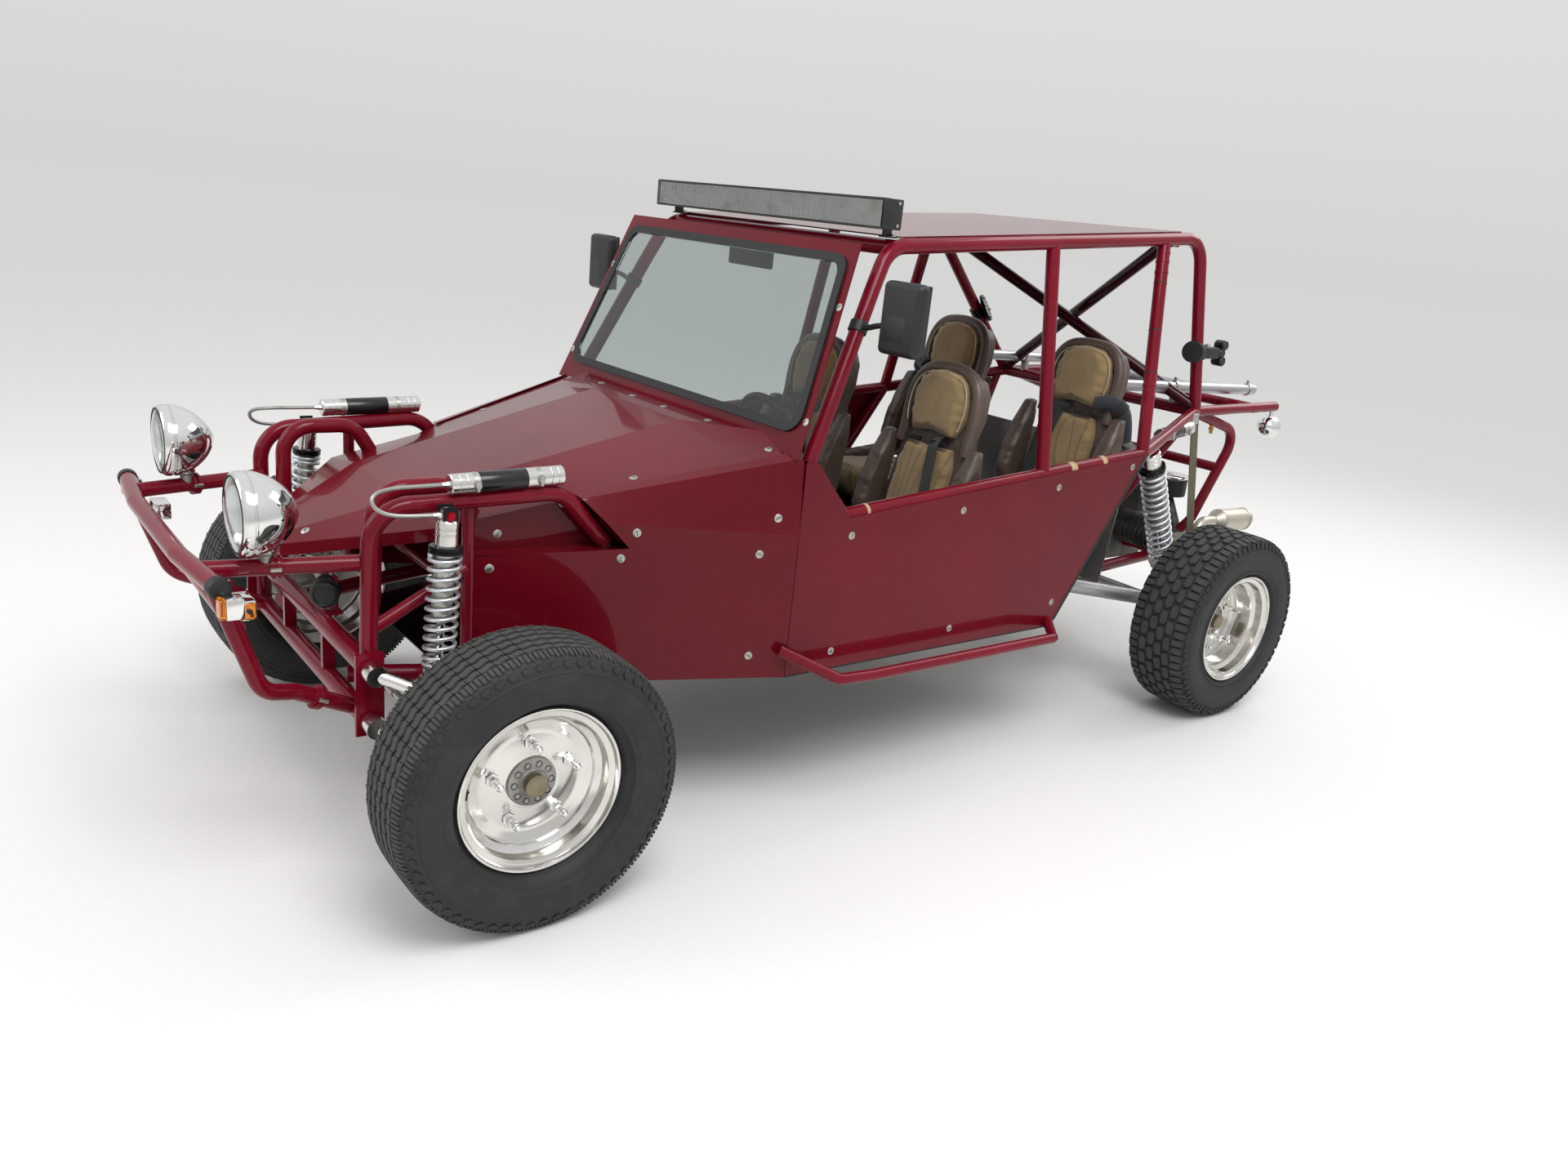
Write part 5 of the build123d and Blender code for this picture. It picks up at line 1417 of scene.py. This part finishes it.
@dataclass
class Harness:
    """The shoulder straps of the seats, and the collar pads that lie on the rear backs."""

    shoulder: tuple[Triple, ...] = ((-118, 40, 470), (-84, 42, 462), (-66, 46, 436), (-50, 56, 380), (-22, 74, 270),
                                    (8, 92, 170), (40, 104, 126), (90, 110, 114))
    lap: tuple[Triple, ...] = ((26, -96, 138), (90, -60, 122), (150, -10, 122), (200, 22, 124))
    collar: tuple[Triple, ...] = ((-176, 186, 372), (-150, 196, 440), (-128, 186, 486), (-106, 150, 504),
                                  (-92, 110, 486))
    thick: float = 0.003

    @staticmethod
    def _on(seat: Triple, side: int, path: Sequence[Triple]) -> list[Vector]:
        """A path given from a seat's foot, on one side of its middle."""
        x, y, z = seat
        return [station(x + dx, y + side * dy, z + dz) for dx, dy, dz in path]

    @staticmethod
    def _limit(share: float) -> Vector:
        """A place along the left limit strap, from its eye to its foot."""
        return station(-2840 - 65 * share, 532.8 + 89 * share, 1101 - 729 * share)

    def build(self) -> None:
        """Lays the straps and the pads."""
        parts = []
        for name, x, y, z in Seats().places:
            side = 1 if y > 0 else -1
            out = side * (1 if "front" in name else -1)
            upper = self._on((x, y, z), out, self.shoulder)
            parts.append(Bench.coated(Bench.ribbon(upper, (0.1, out, 0.22), 0.048, self.thick), WEBBING))
            lower = self._on((x, y, z), out, self.lap)
            parts.append(Bench.coated(Bench.ribbon(lower, (0.7, 0.7 * out, 0.0), 0.046, self.thick), WEBBING))
            buckle = Bench.slab((-0.028, -0.02, 0), (0.028, 0.02, 0.012), 0.004)
            parts.append(Bench.coated(Bench.moved(buckle, station(x + 204, y + out * 24, z + 120)), ZINC))
        for side in (1, -1):
            x, y, z = -2270.0, side * 330.0, 650.0
            pad = Bench.run(self._on((x, y, z), side, self.collar), 0.03, True, 4)
            parts.append(Bench.coated(pad, PADDING))
            band = Bench.turned([(31, -17), (32.5, -16), (32.5, 16), (31, 17)], 24)
            Bench.framed(band, station(x - 128, y + side * 182, z + 482), (0.5, -side * 0.6, 0.6))
            parts.append(Bench.coated(band, WEBBING))
        Bench.piece("harness", parts, "webbing", (), Shade.PADDED)
        strap = Bench.ribbon([self._limit(share) for share in (0.0, 0.1, 0.25, 0.4, 0.55, 0.7, 0.85, 1.0)],
                             (1, 0, 0), 0.044, 0.0034)
        straps = [Bench.coated(strap, STRAP)]
        for share in (0.012, 0.975):
            tab = Bench.slab((-0.018, -0.0042, -0.02), (0.018, 0.0042, 0.02), 0.0015)
            straps.append(Bench.coated(Bench.moved(tab, self._limit(share)), ZINC))
        Bench.piece("rear_straps", Bench.pair(straps), "webbing", ["limit_straps"], Shade.SOFT)


# ---- screws, trims and small fittings


@dataclass
class Sheetwork:
    """The slotted screws that hold the panels, the rubber on their edges and the dried tape on the rail."""

    sides: tuple[tuple[float, float], ...] = (
        (-1024, 833), (-996, 488), (-1466, 875), (-1480, 492), (-1899, 921), (-2272, 971), (-1963, 520),
        (-772, 897), (-400, 857), (-363, 788), (-728, 797), (-724, 503), (-45, 765), (-83, 840), (-250, 915))
    tops: tuple[tuple[float, float], ...] = ((-434, 479), (-790, 582), (-768, 312), (-756, 92), (295, 112))
    pillars: tuple[tuple[float, float], ...] = ((613, 1452), (663, 1153))
    panels: str = ("windscreen_surround hood front_panel_left shoulder_panel_left cabin_panel_left front_panel_right "
                   "shoulder_panel_right cabin_panel_right")

    def build(self) -> None:
        """Seats the screws and lays the trims."""
        bpy.context.view_layer.update()
        head = Bench.turned([(0, 0), (11.5, 0), (11.5, 1.1), (9.6, 2.2), (0, 2.7)], 20)
        # the slot is a thin black bar a little proud of the head: its black is painted shade inside the slot
        slot = Bench.slab((-0.0078, -0.001, 0.0019), (0.0078, 0.001, 0.0029))
        pattern = Bench.joined(Bench.dressed((head, ZINC), (slot, SEAL)))
        lines = [(station(x, side * 2000, z), (0, -side, 0)) for x, z in self.sides for side in (1, -1)]
        lines += [(station(x, side * y, 2000), (0, 0, -1)) for x, y in self.tops for side in (1, -1)]
        parts = [Bench.seated(pattern, self.panels, start, aim, random.uniform(0, 3)) for start, aim in lines]
        for y, z in self.pillars:
            for side in (1, -1):
                parts.append(Bench.seated(pattern, "windscreen_surround", station(0, side * y, z), (-1, 0, 0), 0.4))
        Bench.drop(pattern)
        Bench.piece("panel_screws", parts, "grey_steel")
        close = Bench.outline([(44, -455), (44, -462), (46, -496), (58, -503), (117, -540), (215, -561), (215, -455)],
                              2.0)
        Bench.framed(close, station(-245.3, 0, 973.6), (-0.749, 0, 0.663), (-0.663, 0, -0.749))
        Bench.piece("hoop_closers", Bench.pair([Bench.coated(close, RED)]), "red_paint")
        edge = [station(-2336, 698.5, 1004), station(-1994, 698.5, 464), station(-1970, 698.5, 434)]
        rear = Bench.run(edge, 0.0058, False, 2)
        foot = Bench.run([station(-1968, 699, 433.5), station(-838, 699, 433.5)], 0.003, False, 2)
        Bench.piece("edge_rubbers", Bench.pair(Bench.dressed((rear, SEAL), (foot, SEAL))),
                    "black_plastic")
        rail = station(-1003, BELT_Y, 886), station(*POST_FOOT)
        tapes = [Bench.collar(*rail, share, CAGE_TUBE + 0.6, wide) for share, wide in
                 ((0.061, 12), (0.718, 26), (0.727, 8), (0.834, 22))]
        Bench.piece("dried_tape", [Bench.coated(tape, TAPE) for tape in tapes], "red_paint")


@dataclass
class FrontFittings:
    """The bumper's rubber ends, the clamps on the front tubes, the horn and the boot of the steering box."""

    def build(self) -> None:
        """Makes the fittings."""
        tip, bend = station(588, 520, 800), station(613, 245, 800)
        way = (tip - bend).normalized()
        cap = Bench.turned([(0, -26), (24.5, -26), (25, -24), (25, 2), (23, 6), (17, 8), (0, 8.5)], 32)
        Bench.framed(cap, tip, way)
        rubber = [Bench.coated(cap, SEAL)]
        red = []
        for start, end, share in ((station(604, 366, 800), station(255, 446, 806), 0.46),
                                  (station(420, 440, 505), station(262, 400, 420), 0.34)):
            for shift in (-0.018, 0.018):
                red.append(Bench.coated(Bench.collar(start, end, share + shift, 30.0, 8.0), RED_TUBE))
            red.append(Bench.coated(Bench.collar(start, end, share, 23.0, 30.0), RED_TUBE))
            along = (end - start).normalized()
            spot = start.lerp(end, share)
            side = along.cross(Vector((0, 0, 1))).normalized()
            for out in (1, -1):
                ear_at = spot + side * (out * 0.029)
                ear = Bench.rod(ear_at - along * 0.012, ear_at + along * 0.012, 0.0052, 0.0008, 6)
                red.append(Bench.coated(ear, ZINC))
        Bench.piece("bumper_ends", Bench.pair(rubber), "black_plastic")
        Bench.piece("tube_clamps", Bench.pair(red), "red_paint")
        horn = Bench.turned([(0, 0), (16, 0), (18, 14), (44, 18), (50, 22), (50, 27), (46, 29), (36, 27), (34, 23),
                             (12, 23), (10, 26), (0, 27)], 40)
        Bench.framed(horn, station(505, 300, 650), (1, 0.35, 0.1))
        stay = Bench.ribbon([station(510, 300, 650), station(506, 300, 672), station(540, 300, 674)], (0, 1, 0), 0.02,
                            0.003)
        parts = Bench.dressed((horn, MOULDED), (stay, ZINC))
        Bench.piece("horn", parts, "black_plastic")
        self._boot()

    def _boot(self) -> None:
        """The ribbed rubber boot on its bracket, with two domed nuts, above the beam."""
        ribs = [(34 + (0 if k % 2 else 3.0), 22 + 4.4 * k) for k in range(9)]
        boot = Bench.turned([(0, 0), (27, 0), (27, 18)] + ribs + [(37, 62), (35, 70), (28, 74), (26, 71), (0, 71)], 40)
        Bench.framed(boot, station(236, 92, 640), (0.45, 1.0, -0.12))
        arm = Bench.rod(station(236, 92, 640), station(226, -30, 652), 0.018, 0.003)
        bracket = Bench.slab(station(226, 88, 574), station(234, 150, 676), 0.003)
        foot = Bench.slab(station(214, 88, 572), station(262, 150, 580), 0.002)
        parts = Bench.dressed((boot, SEAL), (arm, CAST), (bracket, RED_TUBE), (foot, RED_TUBE))
        for z in (614, 652):
            nut = Bench.turned([(0, 0), (9, 0), (9, 7), (8, 8), (7, 13), (4, 16), (0, 17)], 12)
            parts.append(Bench.coated(Bench.framed(nut, station(233, 140, z), (1, 0, 0)), CHROME))
        Bench.piece("steering_boot", parts, "black_plastic")


@dataclass
class CageFittings:
    """The sleeves and the wire on the left post, the black clamp with its knob, and the rack's end clamps."""

    def build(self) -> None:
        """Makes the fittings."""
        top, foot = station(*POST_TOP), station(*POST_FOOT)
        rings = [Bench.coated(Bench.collar(top, foot, share, CAGE_TUBE + 1.6, 9.0), RED_TUBE)
                 for share in (0.06, 0.1, 0.15, 0.68, 0.73)]
        Bench.piece("post_sleeves", rings, "red_paint")
        behind = Vector((-1, 0.1, 0)).normalized() * ((CAGE_TUBE + 2.4) * MM)
        points = [top.lerp(foot, 0.03 + 0.08 * k) + behind + Vector((0, 0.0016 * (-1) ** k, 0)) for k in range(10)]
        wire = [Bench.coated(Bench.run(points, 0.0024, True, 1), SEAL)]
        for share in (0.2, 0.42, 0.62):
            wire.append(Bench.coated(Bench.collar(top, foot, share, CAGE_TUBE + 0.9, 4.0), SEAL))
        Bench.piece("post_wiring", wire, "black_plastic")
        self._knob()
        self._rack()

    def _knob(self) -> None:
        """The clamp on the left rear leg: collar, disc, arm and a knob of three lobes."""
        high, low = station(-2737, 499, 1620), station(-2897, 490, 1112)
        spot = high.lerp(low, 0.56)
        collar = Bench.collar(high, low, 0.56, CAGE_TUBE + 9, 46.0)
        disc = Bench.turned([(0, 0), (38, 0), (40, 2), (40, 8), (38, 10), (14, 11), (0, 11)], 36)
        Bench.framed(disc, spot + Vector((0.034, 0.006, 0.004)), (1, 0.35, 0.0))
        arm = Bench.slab((-0.125, -0.019, -0.021), (-0.02, 0.019, 0.021), 0.006)
        Bench.moved(arm, spot)
        lobes = []
        for k, lift in enumerate((-0.03, 0.0, 0.03)):
            lobe = Bench.turned([(0, 0), (16, 0), (18.5, 3), (18.5, 40), (16, 43), (0, 43)], 24)
            Bench.framed(lobe, spot + Vector((-0.138 - 0.012 * abs(k - 1), -0.022, lift)), (0, 1, 0))
            lobes.append(Bench.coated(lobe, SLEEVE))
        bolt = Bench.rod(spot + Vector((-0.06, 0, 0.018)), spot + Vector((-0.06, 0, 0.033)), 0.011, 0.002, 6)
        parts = Bench.dressed((collar, MOULDED), (disc, MOULDED), (arm, MOULDED), (bolt, ZINC)) + lobes
        Bench.piece("rail_clamp", parts, "black_plastic")
        self._disc_bolts()

    def _disc_bolts(self) -> None:
        """Four cap screws in the holes of the round plate on the right rear leg."""
        top, foot = station(-2362, -514, 1712), station(-2897, -490, 1112)
        leg = (foot - top).normalized()
        centre = top.lerp(foot, 0.587)
        inward = (Vector((0, 1, 0)) - leg * leg.y).normalized()
        ahead = inward.cross(leg)
        normal = (inward + ahead).normalized()
        across = normal.cross(leg)
        parts = []
        for k in range(4):
            turn = math.radians(45 + 90 * k)
            around = (leg * math.cos(turn) + across * math.sin(turn)) * 0.044
            spot = centre + normal * ((CAGE_TUBE + 21.3) * MM) + around
            bolt = Bench.turned([(0, 0), (6.5, 0), (6.5, 1.2), (5.2, 1.4), (5.2, 5.4), (4.4, 6.2), (2.4, 6.2),
                                 (2.3, 3.6), (0, 3.6)], 18)
            parts.append(Bench.coated(Bench.framed(bolt, spot, normal, leg), CHROME))
        Bench.piece("plate_screws", parts, "chrome")

    def _rack(self) -> None:
        """A zinc clamp with its bolt near each rear end of the rack tubes."""
        start, end = station(-2520, 385, 1198), station(-3440, 385, 1173)
        parts = []
        for share in (0.4, 0.955):
            spot = start.lerp(end, share)
            parts.append(Bench.coated(Bench.collar(start, end, share, 25.0, 18.0), ZINC))
            parts.append(Bench.coated(Bench.rod(spot + Vector((0, 0, 0.024)), spot + Vector((0, 0, 0.038)), 0.0065,
                                                0.001, 6), ZINC))
        Bench.piece("rack_clamps", Bench.pair(parts), "grey_steel")


@dataclass
class EngineDress:
    """What is bolted to the engine: the coil, the distributor, the leads, the filters' lids and the pulley belt."""

    def build(self) -> None:
        """Makes the engine's small parts."""
        parts = []
        for side in (1, -1):
            lid = Bench.turned([(0, 0), (72.5, 0), (75, 3), (75, 9), (72, 11), (30, 13), (12, 13.5), (10, 17), (0, 17)],
                               44)
            parts.append(Bench.coated(Bench.moved(lid, station(-3170, side * 262, 788)), CHROME))
            mesh = Bench.turned([(73, 0), (73.6, 2)] + [(73 + 0.9 * (k % 2), 4 + 3 * k) for k in range(20)] +
                                [(73, 66)], 44)
            parts.append(Bench.coated(Bench.moved(mesh, station(-3170, side * 262, 717)), SEAL))
            cover = Bench.slab(station(-3238, side * 384 - 7, 496), station(-3032, side * 384 + 7, 584), 0.006)
            parts.append(Bench.coated(cover, CAST))
            for x in (-3190, -3080):
                plug = Bench.rod(station(x, side * 300, 590), station(x, side * 285, 628), 0.011, 0.002, 16)
                parts.append(Bench.coated(plug, SEAL))
                lead = [station(x, side * 285, 626), station(x - 8, side * 270, 668), station(-3195, side * 150, 694),
                        station(-3214, side * 60, 716), station(-3216, 52, 742)]
                parts.append(Bench.coated(Bench.run(lead, 0.0038, True, 2), SEAL))
        coil = Bench.rod(station(-3206, 186, 668), station(-3206, 186, 790), 0.027, 0.003, 28)
        nose = Bench.rod(station(-3206, 186, 790), station(-3206, 186, 815), 0.014, 0.002, 20)
        cap = Bench.turned([(0, 0), (20, 0), (21, 20), (34, 22), (36, 26), (36, 46), (30, 52), (12, 54), (10, 66),
                            (0, 66)], 32)
        Bench.moved(cap, station(-3216, 52, 676))
        parts += Bench.dressed((coil, STEEL), (nose, SEAL), (cap, MOULDED))
        belt = Bench.run([station(-3272, 70 * math.cos(a), 770 + 70 * math.sin(a)) for a in
                          (0.1, 0.5, 0.9, 1.3, 1.57, 1.84, 2.24, 2.64, 3.04)] +
                         [station(-3272, 86 * math.cos(a), 520 + 86 * math.sin(a)) for a in
                          (3.2, 3.7, 4.2, 4.71, 5.2, 5.7, 6.2)], 0.006, True, 1, closed=True)
        parts.append(Bench.coated(belt, SEAL))
        brass = Bench.turned([(0, 0), (7, 0), (7, 10), (10, 11), (10, 20), (7, 21), (7, 34), (0, 34)], 6)
        Bench.framed(brass, station(-3092, 450, 1046), (-0.26, 0.0, -1), (0, 1, 0))
        parts.append(Bench.coated(brass, BRASS))
        Bench.piece("engine_dress", parts, "grey_aluminium")
        silencer = station(-3216, 480.7, 649.7), station(-3420, 489.6, 646.2)
        bands = [Bench.coated(Bench.collar(*silencer, share, 47.5, 10.0), ZINC) for share in (0.1, 0.9)]
        Bench.piece("silencer_bands", bands, "exhaust_steel")


# ---- stage, light and camera


@dataclass
class Studio:
    """The floor, the soft light and the camera."""

    place: Triple = (2.5419, 3.0894, 1.6801)
    yaw: float = -2.2521
    pitch: float = 0.3076
    roll: float = -0.1047
    focal: float = 1441.1
    width: float = 1920.0
    sensor: float = 36.0

    def build(self) -> None:
        """Lays the floor, hangs the lamps and aims the camera."""
        self._floor()
        self._sky()
        self._lamp("key", (1.5, 3.5, 5.5), (0.0, 0.0, 0.6), 3.0, 210.0)
        self._lamp("fill", (5.5, -2.0, 3.5), (0.0, 0.0, 0.6), 3.0, 70.0)
        self._lamp("back", (-5.0, 0.5, 4.5), (0.0, 0.0, 0.8), 3.0, 90.0)
        self._camera()
        bpy.context.scene.view_settings.view_transform = "Standard"
        log.info("studio ready")

    def _floor(self) -> None:
        """A wide pale floor."""
        Bench.clear()
        bpy.ops.mesh.primitive_circle_add(vertices=96, radius=90, fill_type="NGON")
        floor = bpy.context.object
        floor.name = "floor"
        graph = Graph("pale_floor")
        grain = graph.noise(60.0, 4.0)
        graph.surface(Base_Color=graph.mix(grain, tone("e0dedb"), tone("e6e4e1")), Roughness=0.9,
                      Normal=graph.bump(grain, 0.0003, 0.3))
        floor.data.materials.append(graph.material)

    def _sky(self) -> None:
        """An even pale sky that meets the floor without a line."""
        world = bpy.data.worlds.new("pale_sky")
        world.use_nodes = True
        bpy.context.scene.world = world
        tree = world.node_tree
        tree.nodes.clear()
        spot, parts, ramp, glow, out = (tree.nodes.new("ShaderNode" + kind) for kind in
                                        ("TexCoord", "SeparateXYZ", "ValToRGB", "Background", "OutputWorld"))
        for stop, (height, code) in zip(ramp.color_ramp.elements, ((0.0, "dddcda"), (0.6, "fafcff"))):
            stop.position = height
            stop.color = tone(code)
        glow.inputs[1].default_value = 0.92
        for source, target in ((spot.outputs["Generated"], parts.inputs[0]), (parts.outputs[2], ramp.inputs[0]),
                               (ramp.outputs[0], glow.inputs[0]), (glow.outputs[0], out.inputs[0])):
            tree.links.new(source, target)

    def _lamp(self, name: str, place: Point, target: Point, size: float, power: float) -> None:
        """A square soft lamp aimed at a point."""
        data = bpy.data.lights.new(name, "AREA")
        data.shape = "SQUARE"
        data.size = size
        data.energy = power
        lamp = bpy.data.objects.new(name, data)
        bpy.context.scene.collection.objects.link(lamp)
        lamp.location = place
        lamp.rotation_euler = (Vector(target) - Vector(place)).to_track_quat("-Z", "Y").to_euler()

    def _camera(self) -> None:
        """The camera as it was fitted to the photograph."""
        cy, sy, cp, sp = math.cos(self.yaw), math.sin(self.yaw), math.cos(self.pitch), math.sin(self.pitch)
        ahead = Vector((cy * cp, sy * cp, -sp))
        right = Vector((sy, -cy, 0.0))
        down = ahead.cross(right)
        across = right * math.cos(self.roll) + down * math.sin(self.roll)
        under = down * math.cos(self.roll) - right * math.sin(self.roll)
        data = bpy.data.cameras.new("camera")
        data.sensor_fit = "HORIZONTAL"
        data.sensor_width = self.sensor
        data.lens = self.focal * self.sensor / self.width
        data.clip_end = 200.0
        camera = bpy.data.objects.new("camera", data)
        bpy.context.scene.collection.objects.link(camera)
        turn = Matrix((across, -under, -ahead)).transposed().to_4x4()
        camera.matrix_world = Matrix.Translation(self.place) @ turn
        bpy.context.scene.camera = camera


def wheels() -> list[Wheel]:
    """The four wheels of the buggy."""
    made = []
    for side, word in ((1, "left"), (-1, "right")):
        made.append(Wheel("front_" + word, (FRONT_AXLE, side * FRONT_HALF_TRACK, AXLE_HEIGHT), side, Tread.RIBBED,
                          rim_half=74.0, tyre_half=112.0, disc_out=22.0))
        made.append(Wheel("rear_" + word, (REAR_AXLE, side * REAR_HALF_TRACK, AXLE_HEIGHT), side, Tread.LUGGED,
                          rim_half=114.0, tyre_half=126.0, disc_out=8.0, groove=11.0))
    return made


def main() -> None:
    """Builds the buggy's looks in order."""
    logging.basicConfig(level=logging.INFO, format="%(name)s %(message)s")
    random.seed(SCREW_SEED)
    dress_nodes()
    suspension = [
        CoilOver("front", top=(95.0, 538.0, 934.0), foot=(122.0, 552.0, 512.0), spring=41.0, wire=5.0, coils=11.0),
        CoilOver("rear", top=(-2512.0, 590.0, 1000.0), foot=(-2800.0, 556.0, 500.0), spring=50.0, wire=6.0, coils=14.0),
        Reservoir("front", nose=(72.0, 486.0, 992.0), tail=(-222.0, 486.0, 1000.0), hose=[
            (72, 488, 993), (150, 491, 993), (215, 494, 993), (262, 512, 986), (266, 522, 962), (240, 530, 942),
            (190, 535, 935), (112, 538, 934)]),
        Reservoir("rear", nose=(-2560.0, 585.0, 1046.0), tail=(-2800.0, 545.0, 1062.0), hose=[
            (-2560, 585, 1046), (-2536, 588, 1050), (-2518, 590, 1038), (-2512, 590, 1016)]),
    ]
    fittings = [Headlamps(), LightBar(), Mirrors(), SmallLamps(), Seats(), Harness(), Sheetwork(), FrontFittings(),
                CageFittings(), EngineDress()]
    for group in [Studio()] + wheels() + suspension + fittings:
        group.build()


if __name__ == "__main__":
    main()
